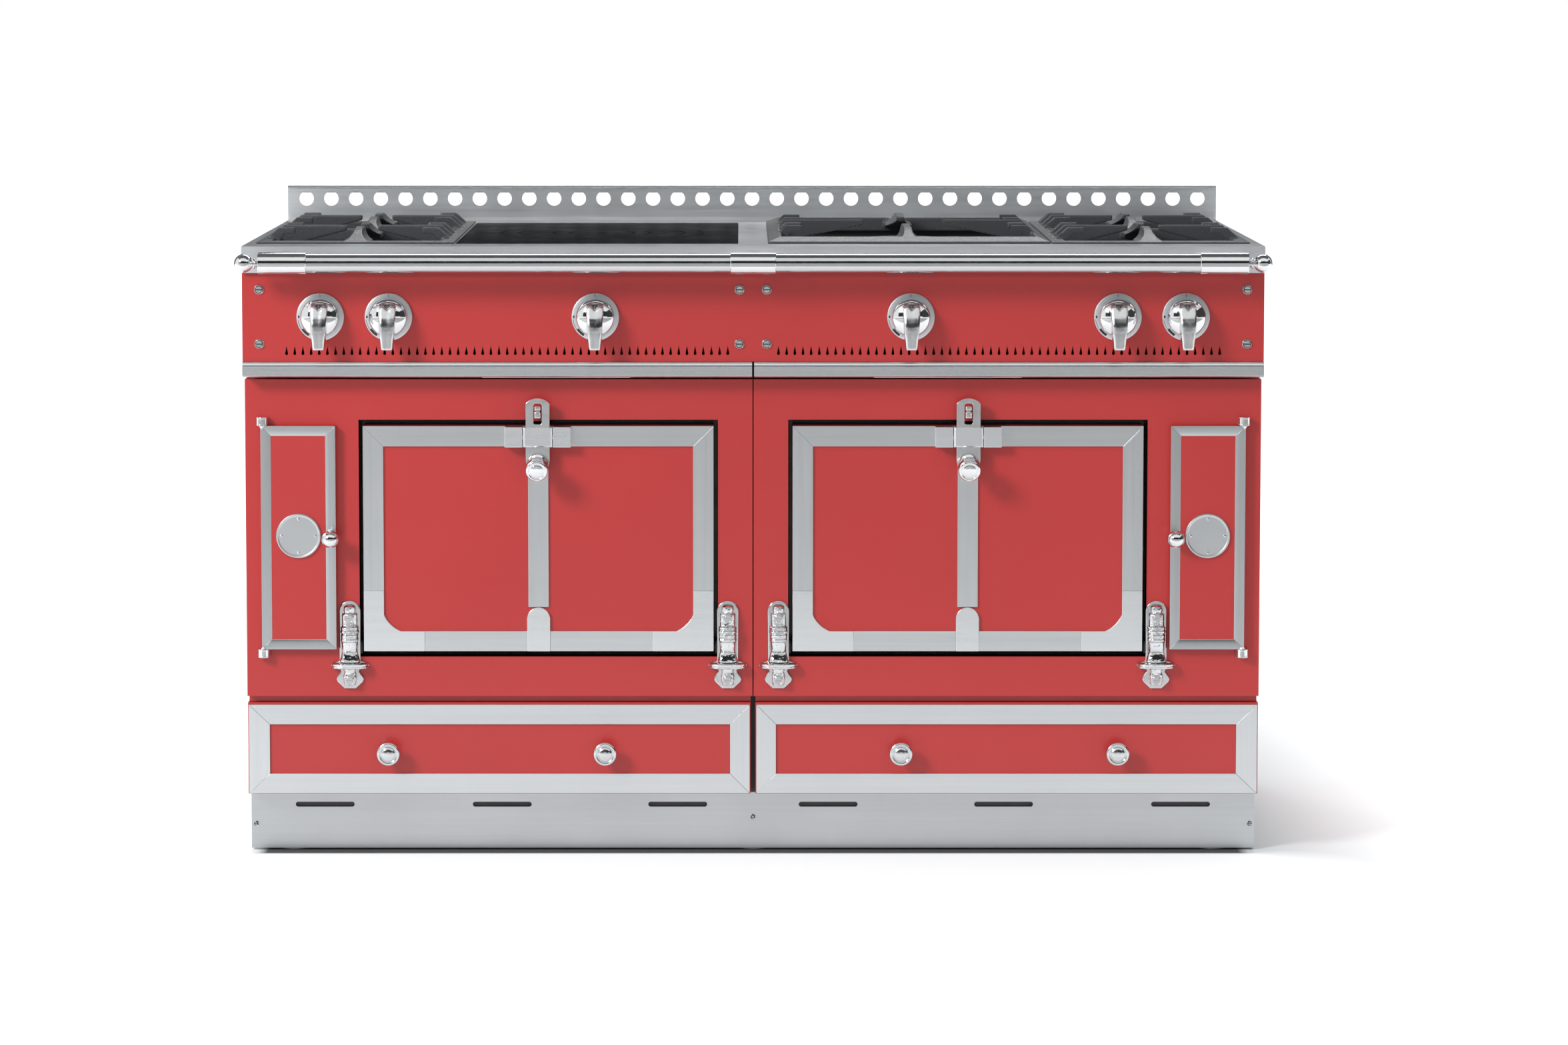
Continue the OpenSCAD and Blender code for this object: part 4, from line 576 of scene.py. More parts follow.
PLAIN = (                                                 # node, material, and bevel in millimetres
    ("base_frame", "grey_frame", 0.6),
    ("leveling_feet", "galvanised", 0.6),
    ("plinth", "plinth", 0.4),
    ("casing_panels", "enamel_red", 0),
    ("oven_front_*", "enamel_red", 0.9),
    ("control_panel", "enamel_red", 0.5),
    ("hob_top", "hob", 1.2),
    ("backguard", "guard", 0.6),
    ("burner_heads", "brass", 0.4),
    ("burner_caps", "cast_iron", 0.8),
    ("gas_manifold", "brass", 0.4),
    ("gas_pipes", "galvanised", 0.3),
    ("oven_liner_*", "black_enamel", 0.4),
    ("oven_racks", "plated_wire", 0),
    ("oven_elements", "knob_black", 0),
    ("drawer_runners", "galvanised", 0.3),
    ("control_niches", "black_enamel", 0.5),
    ("drawer_box_*", "galvanised", 0.4),
    ("drawer_front_*", "enamel_red", 0.6),
    ("oven_door_*", "enamel_red", 1.0),
    ("side_door_*", "enamel_red", 0.8),
    ("hot_plate", "hot_plate", 0.6),
    ("hot_plate_lid", "hot_plate", 0.6),
    ("thermostat_knob_*", "knob_black", 0.5),
)
for pattern, material, bevel in PLAIN:
    for side in SIDES if "*" in pattern else [""]:
        dress(pattern.replace("*", side), material, bevel * MM)
for number in range(1, 7):
    dress(f"spindle_{number}", "brass", 0.0003)

# Planes and places of the front, in millimetres

Y_PANEL, Y_FRONT, Y_DOOR, Y_DRAWER, Y_PLINTH = -311.5, -285.5, -291.5, -282.5, -242.5
RAIL_Y, RAIL_Z = -364.5, 888
DOOR_X, DOOR_MID, DOOR_Z = (58.5, 576), 317.25, (307.5, 642.5)
SIDE_X, SIDE_Z, SIDE_MID = (616, 726), (311.5, 643.5), (671, 480.5)
DRAWER_X, DRAWER_Z = (5, 748.5), (93, 226)
BAND, SIDE_BAND = 30, 15
GAP = 0.12                                                # at the joins of bands
KNOB_X = (-635, -535, -231.5, 231.5, 535, 635)
KNOB_Z, KNOB_BASE = 806, 10
LATCH_PIN_Y, LATCH_PIN_Z = -301.5, 627.5
LATCH_FOOT, LATCH_SHOULDER, LATCH_TOP, LATCH_KNOB_Z = 575.5, 593.5, 685.1, 591.5
HINGES = (("inner", 37.5, 1), ("outer", 597, -1))         # place, x, and on which side the door lies
TONGUE_X = {1: (52.3, 55.8), -1: (578.7, 582.2)}          # by that side
HINGE_Z, HINGE_PIN_Y, HINGE_PIN_Z = 251.5, -279.5, 312.5
LUG_X, LUG_Y = 724, -292.5
TO_VIEWER = (0, -1, 0)
EASED = 0.0004                                            # the usual bevel, in metres


def mitred(x, z, widths, section):
    """Four bands of a frame that meet at 45 degrees, with their widths at the bottom, right, top
    and left. The section runs round a band as (share of the width from the outer edge, y) points."""
    out = box_outline(x, z)
    inner = box_outline((x[0] + widths[3], x[1] - widths[1]), (z[0] + widths[0], z[1] - widths[2]))
    for i in range(4):
        rings = []
        for end, way in ((i, 1), ((i + 1) % 4, -1)):
            outer, inside = Vector(out[end]), Vector(inner[end])
            along = (Vector(out[(i + 1) % 4]) - Vector(out[i])).normalized() * GAP * way
            rings.append([(*(outer.lerp(inside, share) + along), y) for share, y in section])
        yield loft([[(px, y, pz) for px, pz, y in ring] for ring in rings])


def frame_pieces(name, bands, node, level, upright):
    """The level bands of a frame and its upright ones, each ground along its own length."""
    bands = list(bands)
    made(f"{name}_level", joined(bands[0::2]), level, node, EASED)
    made(f"{name}_upright", joined(bands[1::2]), upright, node, EASED)


# Towel rail

def towel_rail():
    node = "towel_rail"
    middle, sleeve, end = 33, 70, 720
    made("rail_tube", rail_part([(0, -end), (14, -end), (14, end), (0, end)]), "rail_steel", node)
    sleeves = [sleeve_part(-middle, middle)]
    for side in (-1, 1):
        sleeves.append(sleeve_part(*sorted((side * (end - sleeve), side * end))))
        neck = [(15, end - 0.5), (9, end + 1), (6.5, end + 2), (5, end + 3.5), (5, end + 4.2), (7.5, end + 5),
                (8, end + 6), (7.5, end + 7), (5, end + 8), (5, end + 12)]
        for line in (rounded(neck, 1), ball(13.5, end + 21.5, 36)):
            sleeves.append(rail_part(line, side, 64))
    for x in (-end + sleeve / 2, 0, end - sleeve / 2):
        post = [(8, 12), (8, 40.5), (8.6, 41.2), (11.6, 42), (12.5, 43.2), (12.5, 44.9), (0, 44.9)]
        sleeves.append(lathe(post, (x, RAIL_Y, RAIL_Z), (0, 1, 0), 48))
    made("rail_sleeves", joined(sleeves), "chrome", node)


def rail_part(profile, side=1, turns=96):
    return lathe(profile, (0, RAIL_Y, RAIL_Z), (side, 0, 0), turns)


def sleeve_part(low, high):
    return rail_part([(13.9, low), (15.4, low), (16, low + 0.6), (16, high - 0.6), (15.4, high),
                      (13.9, high)])


# Knobs

def lever_section(z):
    """One ring of a knob's lever at height z, as (x, height over the knob's base) points."""
    half = flow(z, [(-46, 8.0), (-40, 8.6), (-20, 10.6), (0, 12.0), (10, 12.6), (16.5, 12.4), (19, 11.2),
                    (20.4, 9)])
    front = flow(z, [(-46, 31.6), (-44, 32.6), (-22, 34.9), (-10, 34.2), (0, 31.6), (12, 26.4), (16.5, 24),
                     (19, 21), (20.4, 17)])
    back = flow(z, [(-46, 22), (-30, 15), (-24, 9), (-19, 2), (20.4, 2)])
    groove = flow(z, [(-46, 0.2), (-20, 0.4), (10, 0.8), (20.4, 2)])
    ridge, fall = 0.56, 2.6
    across = [-1, -0.93, -0.82, -0.7, -0.56, -0.44, -0.32, -0.2, -0.09]
    across += [0] + [-t for t in reversed(across)]
    ring = []
    for t in across:
        away = abs(t)
        if away < ridge:
            drop = groove * (1 - away / ridge) ** 1.5
        else:
            drop = fall * ((away - ridge) / (1 - ridge)) ** 2
        ring.append((half * t, front - drop))
    low = front - fall
    sides = [(half * 1.03, low * 0.6 + back * 0.4), (half * 1.06, back)]
    ring += sides + [(0, back)] + [(-x, h) for x, h in reversed(sides)]
    return ring


def knob(number, x):
    node = f"knob_{number}"
    base_y = Y_PANEL - KNOB_BASE
    rim, swell, reach = 7.5, 39, 27.5                     # a low cap of a ball on an upright rim
    edge = math.asin(reach / swell)
    dome = [(26.6, 0), (27.3, 0.5), (27.8, 1.2), (27.8, rim - 0.8)]
    dome += arc((0, rim - swell * math.cos(edge)), swell, 90 - math.degrees(edge), 90, 24)[1:]
    made(f"{node}_dome", lathe(dome, (x, base_y, KNOB_Z), TO_VIEWER, 96), "chrome", node)
    rings = []
    for z in (-46, -45.4, -44, *range(-41, 8, 4), 10, 13, 15, 17, 18.3, 19.4, 20.4):
        near_top = max(0.0, (z - 6) / 14.4)
        ring = []
        for px, height in lever_section(z):
            notch = 5.2 * near_top ** 1.5 * max(0.0, 1 - abs(px) / 5.5) if height > 6 else 0
            ring.append((x + px, base_y - height, KNOB_Z + z - notch))
        rings.append(ring)
    tip, root, half = 27.3, 14.5, 4.4
    pointer = bmesh.new()
    for px, z, height in ((0, tip, 3), (-half, root, 15.5), (half, root, 15.5), (0, root, 20),
                          (-half, root, 8), (half, root, 8)):
        pointer.verts.new((x + px, base_y - height, KNOB_Z + z))
    bmesh.ops.convex_hull(pointer, input=pointer.verts)
    made(f"{node}_lever", joined([loft(rings), pointer]), "lever_chrome", node, EASED)


def bezel(number, x):
    ring = [(12, 0), (34.4, 0), (35, 0.6), (35, 4.4), (34.6, 5.1), (33.8, 5.5), (26, 5.5), (25.4, 6.8),
            (12, 6.8)]
    made(f"bezel_{number}", lathe(ring, (x, Y_PANEL, KNOB_Z), TO_VIEWER, 128), "bezel_steel", "knob_bezels")
    tick = box_outline((x - 0.35, x + 0.35), (KNOB_Z + 29.3, KNOB_Z + 34))
    crescent = arc((x, KNOB_Z), 33.2, 186, 238, 20) + arc((x, KNOB_Z), 29.6, 238, 214, 8)
    crescent += arc((x, KNOB_Z), 32.6, 214, 186, 12)
    flame = [(x + px - 31.5, KNOB_Z + z)
             for px, z in ((0, 3), (-1.3, 0.8), (-1.2, -1), (0, -2), (1.2, -1), (1.3, 0.8))]
    marks = [prism(outline, Y_PANEL - 5.62, Y_PANEL - 5.3) for outline in (tick, crescent, flame)]
    made(f"bezel_marks_{number}", joined(marks), "mark", "knob_bezels")


# Screws in cup washers

def slotted_head(centre, radius, slot, low, high):
    """The two halves of a slotted screw's head."""
    start = math.degrees(math.asin(slot / radius))
    return [prism(arc(centre, radius, turn + start, turn + 180 - start, 16), low, high) for turn in (0, 180)]


def cup_screw(x, z, y, washer):
    """A screw's head with its washer, and between them a black ring of painted shade."""
    head = washer * 0.35
    cup = [(head + 0.2, 0), (washer / 2, 0), (washer / 2 - 0.3, 0.9), (washer / 2 - 1.2, 1.9),
           (head + 0.7, 2.6), (head + 0.2, 2.3), (head + 0.1, 0.6)]
    # Painted shade: a black ring and floor in the gap between the head and its cup.
    well = [(head + 0.15, 0.2), (head + 0.15, 1.2), (0, 1.2)]
    bright = [lathe(rounded(cup, 0.4), (x, y, z), TO_VIEWER, 48)]
    bright += slotted_head((x, z), head - 0.7, 0.75, y - 3.3, y - 0.5)
    return bright, lathe(well, (x, y, z), TO_VIEWER, 32)


def front_screws():
    places = [(x, z, Y_PANEL, 15.6) for x in (-725, -20, 20, 725) for z in (766, 846)]
    places += [(x, z, Y_PLINTH, 8) for x, z in ((-743, 40), (0, 50), (743, 40))]
    heads, wells = zip(*(cup_screw(*place) for place in places))
    made("screw_heads", joined(sum(heads, [])), "bright_steel", "front_screws", 0.0002)
    made("screw_wells", joined(wells), "knob_black", "front_screws")


# Oven door bands

def door_bands(side_name, k):
    node = f"door_straps_{side_name}"
    (left, right), (low, high) = DOOR_X, DOOR_Z
    edges = ((left, 1), (right, -1))
    top, gusset, half_cap = high - BAND, 90, 17

    def strip(outline, out=0.0):
        return prism([(k * x, z) for x, z in outline], Y_DOOR - out, Y_DOOR + 3)

    level = [strip([(left + GAP, high), (right - GAP, high), (right - BAND - GAP, top),
                    (left + BAND + GAP, top)]),
             strip(box_outline((left + gusset, DOOR_MID - half_cap - GAP), (low, low + BAND))),
             strip(box_outline((DOOR_MID + half_cap + GAP, right - gusset), (low, low + BAND)))]
    upright = [strip([(edge, high - GAP), (edge + way * BAND, top - GAP), (edge + way * BAND, low + gusset),
                      (edge, low + gusset)]) for edge, way in edges]
    upright.append(strip(box_outline((DOOR_MID - BAND / 2, DOOR_MID + BAND / 2), (low + 66, top))))
    made(f"door_bands_level_{side_name}", joined(level), "steel_x", node, EASED)
    made(f"door_bands_upright_{side_name}", joined(upright), "steel_z", node, EASED)

    reach, sweep = 25, 23.2                               # a shallow curve across each inner corner
    radius = reach / math.sqrt(2) / math.sin(math.radians(sweep))
    centre_in = reach / 2 + radius * math.cos(math.radians(sweep)) / math.sqrt(2)
    bright = []
    for edge, way in edges:
        centre = (edge + way * (BAND + centre_in), low + BAND + centre_in)
        turn = (225 + sweep, 225 - sweep) if way > 0 else (315 - sweep, 315 + sweep)
        bright.append(strip([(edge, low), (edge + way * gusset, low), (edge + way * gusset, low + BAND),
                             *arc(centre, radius, *turn, 14), (edge + way * BAND, low + gusset),
                             (edge, low + gusset)], 0.8))
    cap = [(DOOR_MID - half_cap, low), (DOOR_MID + half_cap, low)]
    bright.append(strip(cap + arc((DOOR_MID, low + 48.5), half_cap, 0, 180, 24), 1.6))
    made(f"door_gussets_{side_name}", joined(bright), "fine_steel", node, 0.0006, 3)

    blocks = [strip(box_outline((middle - 13.25, middle + 13.25), (top, high)), 15.6)
              for middle in (DOOR_MID - 35.55, DOOR_MID + 35.55)]
    made(f"latch_blocks_{side_name}", joined(blocks), "fine_steel", node, 0.0008, 3)
    pin = [(0, -32), (4, -32), (4, 32), (0, 32)]
    made(f"latch_pin_{side_name}", lathe(pin, (k * DOOR_MID, LATCH_PIN_Y, LATCH_PIN_Z), (1, 0, 0), 24),
         "bright_steel", node)


def latch(side_name, k):
    node = f"latch_{side_name}"
    x, front, back = k * DOOR_MID, -306.5, -302.5
    crown, half, foot = 24.4, 17.6, 14
    lean = math.degrees(math.asin(half / crown))
    plate = [(x + foot, LATCH_FOOT), (x + half, LATCH_SHOULDER)]
    plate += arc((x, LATCH_TOP - crown), crown, 90 - lean, 90 + lean, 24)
    plate += [(x - half, LATCH_SHOULDER), (x - foot, LATCH_FOOT)]
    slot = []
    for cx, cz, start in ((3.1, 674.5, 0), (-3.1, 674.5, 90), (-3.1, 649.5, 180), (3.1, 649.5, 270)):
        slot += arc((x + cx, cz), 3, start, start + 90, 4)
    made(f"{node}_plate", holed(plate, slot, front, back), "bright_steel", node, 0.0007, 3)
    hub = loft([box_ring((x - 21.7, x + 21.7), (612.6, 642.4), y, inset)
                for y, inset in ((-294.6, 0), (-306.2, 0), (-308.2, 2.2), (-308.4, 2.6))])
    made(f"{node}_hub", hub, "fine_steel", node, EASED)
    stem = [(12, 0), (12, 2.4), (10.6, 3.6), (9, 5), (9, 7.4), (11, 8.6), (11, 11), (9.2, 12), (8.6, 13.6),
            (9, 15), (12, 17), (15.2, 19.2), (16.5, 21.5), (16.5, 25), (15.9, 25.8), (16.5, 26.6),
            (16.5, 36.6), (15.9, 38.6), (14, 40), (12.4, 39.9), (11.4, 38.7), (10.2, 38.7), (9, 39.7),
            (5, 40.6), (0, 41)]
    lean = math.radians(16)
    axis = (0, -math.cos(lean), -math.sin(lean))
    made(f"{node}_knob", lathe(rounded(stem, 0.9), (x, front + 2, LATCH_KNOB_Z), axis, 80), "chrome", node)


def box_ring(x, z, y, inset):
    return [(px, y, pz) for px, pz in box_outline((x[0] + inset, x[1] - inset), (z[0] + inset, z[1] - inset))]


def holed(outline, hole, low, high):
    """A prism with a hole, cut with a boolean."""
    objects = []
    for bm in (prism(outline, low, high), prism(hole, low - 5, high + 5)):
        bmesh.ops.recalc_face_normals(bm, faces=bm.faces)
        objects.append(bpy.data.objects.new("holed", mesh_from("holed", bm)))
        SCENE.collection.objects.link(objects[-1])
    cut = objects[0].modifiers.new("cut", "BOOLEAN")
    cut.operation, cut.object, cut.solver = "DIFFERENCE", objects[1], "EXACT"
    result = bmesh.new()
    result.from_mesh(evaluated(objects[0]).to_mesh())
    for thing in objects:
        bpy.data.objects.remove(thing)
    return result


def keeper(side_name, k):
    x = k * DOOR_MID

    def lump(half, z, front, back=-288):
        return prism(box_outline((x - half, x + half), z), front, back)

    nose = [lump(4.7, (655.5, 665.2), -310.4), lump(4.7, (666.6, 673.4), -307.5),
            lump(3.8, (664, 668), -304.5)]
    made(f"keeper_nose_{side_name}", joined(nose), "chrome", "latch_keepers", 0.0022, 4)
    made(f"keeper_base_{side_name}", lump(14, (649.5, 679.5), -288.5, Y_FRONT), "enamel_red", "latch_keepers",
         0.0008, 3)


# Hinges

BULGE = 0.72                                              # 1 would be a half round


def turned_column(cx, inset, knots):
    """A column of bulging rings, with its flat back inset before the front. Knots are (height,
    half width, depth)."""
    turns = [math.pi * i / 14 for i in range(15)]
    bulge = [(math.copysign(abs(math.cos(a)) ** BULGE, math.cos(a)), math.sin(a) ** BULGE) for a in turns]
    return loft([[(cx + half * across, Y_FRONT - inset - (depth - inset) * out, HINGE_Z + height)
                  for across, out in bulge] for height, half, depth in knots])


def hinge(name, cx, way):
    """One casting: base plate, ringed column, wide flange, two slotted screws and the pivot tongue."""
    node = "door_hinges"
    half = [(8.5, 0), (10, 1.5), (19, 10), (20, 14), (19.2, 18), (13.5, 26), (13.5, 30), (27, 31), (28.2, 33),
            (28.2, 36.5), (27, 38.5), (15.6, 41), (15.6, 60)] + arc((0, 115), 16, 0, 90, 12)
    plate = [(cx + x, HINGE_Z + z) for x, z in half + [(-x, z) for x, z in reversed(half[:-1])]]
    made(f"{name}_plate", prism(plate, Y_FRONT - 4.5, Y_FRONT), "bright_steel", node, 0.0014, 3)

    upper = [(39.2, 14.2, 12), (40, 15, 14.5), (43, 15, 14.8), (47, 13.8, 13.6), (50, 13, 12.8),
             (52, 12.6, 12.6), (54, 12.2, 12.6), (57, 11.9, 15), (60, 11.9, 16.4), (66, 12.2, 17),
             (69, 12.6, 17), (71, 13, 18), (72, 13.4, 20.5), (74.4, 13.4, 20.8), (75.6, 12.9, 19.6),
             (77, 12.9, 19.6), (78, 13.2, 20.8), (81, 13.2, 20.8), (82, 12.6, 18), (83.6, 12.6, 18),
             (84.4, 13.9, 20.8), (87, 13.9, 20.8), (88, 13.2, 18.4), (89.2, 13.2, 18.4), (90, 13.7, 20.4),
             (92.4, 13.4, 20.4), (93.6, 12, 17.2), (95, 11.8, 15.8), (98, 11.8, 15.6), (111, 11.8, 15.6),
             (112.6, 10.4, 14.6), (113.8, 8.9, 13.6), (115, 9.2, 14.4), (118, 9.6, 15.2), (122, 9, 14.6),
             (124.5, 6.8, 12), (125.6, 3.6, 8)]
    flange = [(29.6, 12, 8), (30.4, 25.5, 18.5), (31.4, 28.2, 20), (33.2, 28.4, 21), (34.2, 27.6, 20.4),
              (34.8, 27.4, 20.2), (35.4, 27.9, 20.8), (37.4, 27.9, 21), (38.6, 26, 19.4), (39.4, 16, 14)]
    lower = [(4.5, 5, 8), (6, 8.6, 11.5), (8.5, 10, 13.2), (14, 10.6, 13.8), (20, 10.4, 13.8),
             (24.5, 9, 13.6), (26, 8.8, 13.8), (28, 10, 14.5), (30, 10, 14.5)]
    parts = [turned_column(cx, 3, upper), turned_column(cx, 0, flange), turned_column(cx, 3, lower)]
    made(f"{name}_column", joined(parts), "cast_chrome", node, 0.0003)

    screws = []
    boss = rounded([(7.2, -4), (7.2, 1.2), (6.6, 2), (5.9, 2.1), (5.6, 1.3), (0, 1.3)], 0.4)
    for z, y in ((HINGE_Z + 14, Y_FRONT - 13.6), (HINGE_Z + 106.5, Y_FRONT - 15.4)):
        screws.append(lathe(boss, (cx, y, z), TO_VIEWER, 40))
        screws += slotted_head((cx, z), 5.1, 0.6, y - 2.4, y - 1.2)
    made(f"{name}_screws", joined(screws), "chrome", node, 0.0003)

    k = math.copysign(1, cx)
    near, far = TONGUE_X[way]
    root = abs(cx) + way * 11
    centre = (far if way > 0 else near) + way * 8.25
    pin = [(0, -8.2), (4.5, -8.2), (5, -7.7), (5, 7.7), (4.5, 8.2), (0, 8.2)]
    # The tongue is black: painted shade, so that it reads as the dark gap beside the door.
    tongue = [block((k * near, k * far), (-284.5, -271.5), (303.5, 321.5)),
              block((k * min(near, root), k * max(far, root)), (-287.2, -284), (305.5, 319.5)),
              lathe(pin, (k * centre, HINGE_PIN_Y, HINGE_PIN_Z), (1, 0, 0), 32)]
    made(f"{name}_tongue", joined(tongue), "knob_black", node, 0.0006)


def side_lugs(side_name, k):
    nut = [(8.6, 0), (9, 0.4), (9, 2), (8.7, 2.4), (8.7, 10), (9, 10.4), (9, 12.1), (8.6, 12.5), (0, 12.5)]
    pin = [(0, 0), (3, 0), (3, 10), (0, 10)]
    cone = rounded([(0, 0), (4.5, 0), (4.2, 1.2), (2.2, 4.2), (1.2, 5), (0, 5)], 0.4)
    parts = []
    for nut_z, pin_z, cone_z, way in ((643.8, 633.8, 643.8, -1), (298.7, 311.2, 311.2, 1)):
        parts.append(lathe([(0, 0)] + rounded(nut, 0.3), (k * LUG_X, LUG_Y, nut_z), (0, 0, 1), 48))
        parts.append(lathe(pin, (k * LUG_X, LUG_Y, pin_z), (0, 0, 1), 24))
        parts.append(lathe(cone, (k * LUG_X, LUG_Y - 5.5, cone_z), (0, 0, way), 32))
    made(f"side_lugs_{side_name}", joined(parts), "chrome", "door_hinges", 0.0002)


# Side doors and drawers

def side_trim(side_name, k):
    node = f"side_trim_{side_name}"
    y0 = Y_FRONT - 14
    section = [(0, y0 + 2), (0, y0), (0.55, y0), (0.97, y0 + 1.5), (1, y0 + 2)]
    bands = mitred(sorted((k * SIDE_X[0], k * SIDE_X[1])), SIDE_Z, (SIDE_BAND,) * 4, section)
    frame_pieces(f"side_bands_{side_name}", bands, node, "side_x", "side_z")
    cx, cz = k * SIDE_MID[0], SIDE_MID[1]
    plate = [(33, 0), (33, 2.8), (32.4, 3.7), (31.2, 4), (30, 3.6), (29.4, 2.9), (28, 2.8), (0, 3)]
    plate = lathe(rounded(plate, 0.3), (cx, y0 + 2, cz), TO_VIEWER, 96)
    made(f"side_plate_{side_name}", plate, "plate_steel", node)
    rivet = [(2.2, 2), (2.2, 3.2), (1.8, 3.9), (1, 4.3), (0, 4.4)]
    rivets = [lathe(rivet, (cx + px, y0 + 2, cz + pz), TO_VIEWER, 20)
              for px, pz in ((0, 25), (0, -25), (25, 0), (-25, 0))]
    made(f"side_rivets_{side_name}", joined(rivets), "bright_steel", node)
    at = (k * 622.5, y0, 477.5)
    stem = lathe(rounded([(9, 0), (9, 1.2), (8, 2), (5.5, 3), (4.6, 5)], 0.5), at, TO_VIEWER, 48)
    made(f"side_ball_{side_name}", joined([stem, lathe(ball(13, 17, 32), at, TO_VIEWER, 64)]), "chrome", node)


def drawer_trim(side_name, k):
    node = f"drawer_trim_{side_name}"
    right, left = (29, 31) if k < 0 else (31, 29)         # the band by the middle is narrower
    section = [(0, Y_DRAWER + 3), (0, Y_DRAWER), (1, Y_DRAWER), (1, Y_DRAWER + 3)]
    x = sorted((k * DRAWER_X[0], k * DRAWER_X[1]))
    bands = mitred(x, DRAWER_Z, (29.5, right, 29.5, left), section)
    frame_pieces(f"drawer_bands_{side_name}", bands, node, "drawer_x", "drawer_z")
    line = [(9, 0), (9, 1.6), (7.6, 2.6), (6, 4.2), (5.8, 8), (6.4, 12), (9.5, 15.4), (13.5, 17.2),
            (16.4, 19.4), (17.25, 21.5), (17.25, 24.6), (16.4, 26.4), (14.6, 27.2), (12.9, 26.8), (12, 25.9),
            (10.8, 25.9), (10, 27), (8, 28.4), (4, 29.6), (0, 30)]
    middle, apart = 379.75, 160.5
    knobs = [lathe(rounded(line, 0.8), (k * (middle + way * apart), Y_DRAWER + 3, 155.5), TO_VIEWER, 72)
             for way in (-1, 1)]
    made(f"drawer_knobs_{side_name}", joined(knobs), "bright_steel", node)


# Mouldings under the control panel, and the hem along the top of the backguard

def along_x(outline, ends):
    """A strip between two values of x with a (y, z) outline."""
    return loft([[(x, y, z) for y, z in outline] for x in ends])


def moulding(side_name, k):
    """A rolled strip: a round nose on top with a crease under it, a flat face and a turned-in lip."""
    front, back, low, high, nose = -317.5, -285.6, 717, 739.9, 3.4
    roll = (front + nose, high - nose)
    line = [(back, low), (front + 3, low), (front, low + 2.2), (front, high - 7.2), (front + 0.9, high - 6.4)]
    line += arc(roll, (3.1, 2.9), 252, 180, 4) + arc(roll, nose, 180, 90, 6)[1:] + [(back, high)]
    made(f"moulding_{side_name}", along_x(line, sorted((k * 1.5, k * 750))), "trim_steel", "front_mouldings",
         0.0003)


def guard_hem():
    low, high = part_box("backguard")
    thick, half, deep, lip = 3.4, 1.7, 4.2, 0.6
    front, top = low.y / MM - 1.2, high.z / MM
    line = arc((front + half, top - half), half, 180, 0, 12)
    line += [(front + thick, top - deep), (front + thick - lip, top - deep - 0.5),
             (front + lip, top - deep - 0.5), (front, top - deep)]
    made("guard_hem", along_x(line, (low.x / MM + 0.2, high.x / MM - 0.2)), "bright_steel", "backguard")


# Cast pan supports

GRATE_GRID = 0.0015
GRATE_SHARP = math.radians(50)


def cast_grate(node):
    """The support's CAD mesh, rounded off as a sand casting is."""
    source = bpy.data.objects.new(node, mesh_from(node, node_mesh(node)))
    SCENE.collection.objects.link(source)
    grid = source.modifiers.new("grid", "REMESH")
    grid.mode, grid.voxel_size = "VOXEL", GRATE_GRID
    soften = source.modifiers.new("soften", "SMOOTH")
    soften.factor, soften.iterations = 0.5, 2
    thin = source.modifiers.new("thin", "DECIMATE")
    thin.ratio = 0.35
    shape = bpy.data.meshes.new_from_object(evaluated(source))
    bpy.data.objects.remove(source)
    smooth(shape, GRATE_SHARP)
    place_piece(f"{node}_cast", shape, "cast_iron", node)


towel_rail()
for number, x in enumerate(KNOB_X, 1):
    knob(number, x)
    bezel(number, x)
front_screws()
guard_hem()
for name, k in SIDES.items():
    door_bands(name, k)
    latch(name, k)
    keeper(name, k)
    side_lugs(name, k)
    side_trim(name, k)
    drawer_trim(name, k)
    moulding(name, k)
    for place, x, way in HINGES:
        hinge(f"hinge_{name}_{place}", k * x, way)
for node in ("grate_left", "grate_large", "grate_right"):
    cast_grate(node)

# Light and stage

AMBIENT = (0.50, 0.92)                                    # at the horizon, and overhead
WHITE = (1, 1, 1, 1)
MATT = 0.9
FLOOR_COLOUR = (0.60, 0.63, 0.645)
FOOT_X, FOOT_Y = 0.745, (-0.243, 0.369)                   # half width, front and back of the foot
CONTACT_SHADOW, CONTACT_SHADOW_TONE = (0.022, 0.032), 0.12              # where the painted contact shadow before it ends, and its tone
NEAR_LIFT = 0.46                                          # how much the painted glow lifts the floor near the cooker
FRONT_LIFT = (0.022, 0.034)                               # from and to which distance
LEFT_LIFT = (-0.02, 0.01)
RIGHT_LIFT = (-0.02, 0.26)
BACK_LIFT = (0.22, 0.66)
SOFTENING = 0.9                                           # how fast the front's edge softens on the right
FAR_LIFT = (0.26, 0.1, 3)                                 # how much, from and to which distance
FLOOR = 30                                                # half its width
CARDS = {                                                 # how grey, and the corners
    "front_flag": (0.02, [(-13, -9, 1.25), (13, -9, 1.25), (13, -9, 6.2), (-13, -9, 6.2)]),
    "ceiling": (0.15, [(-7, -2.4, 7), (7, -2.4, 7), (7, 3.5, 7), (-7, 3.5, 7)]),
    "back_flag": (0.05, [(-8, 3.5, 0.2), (8, 3.5, 0.2), (8, 3.5, 6), (-8, 3.5, 6)]),
    "front_mat": (0.46, [(-8, -20, 0.01), (8, -20, 0.01), (8, -1.7, 0.01), (-8, -1.7, 0.01)]),
    "right_flag": (0.04, [(6, -5, 0.6), (6, 1, 0.6), (6, 1, 4), (6, -5, 4)]),
}
LAMPS = {                                                 # place, target, size and watts
    "key": ((-4.5, -4.3, 3.9), (0, -0.3, 0.4), (1.6, 1.6), 285),
    "overhead": ((0.4, 2.4, 3.4), (0, 0, 0.9), (3.0, 1.0), 70),
}


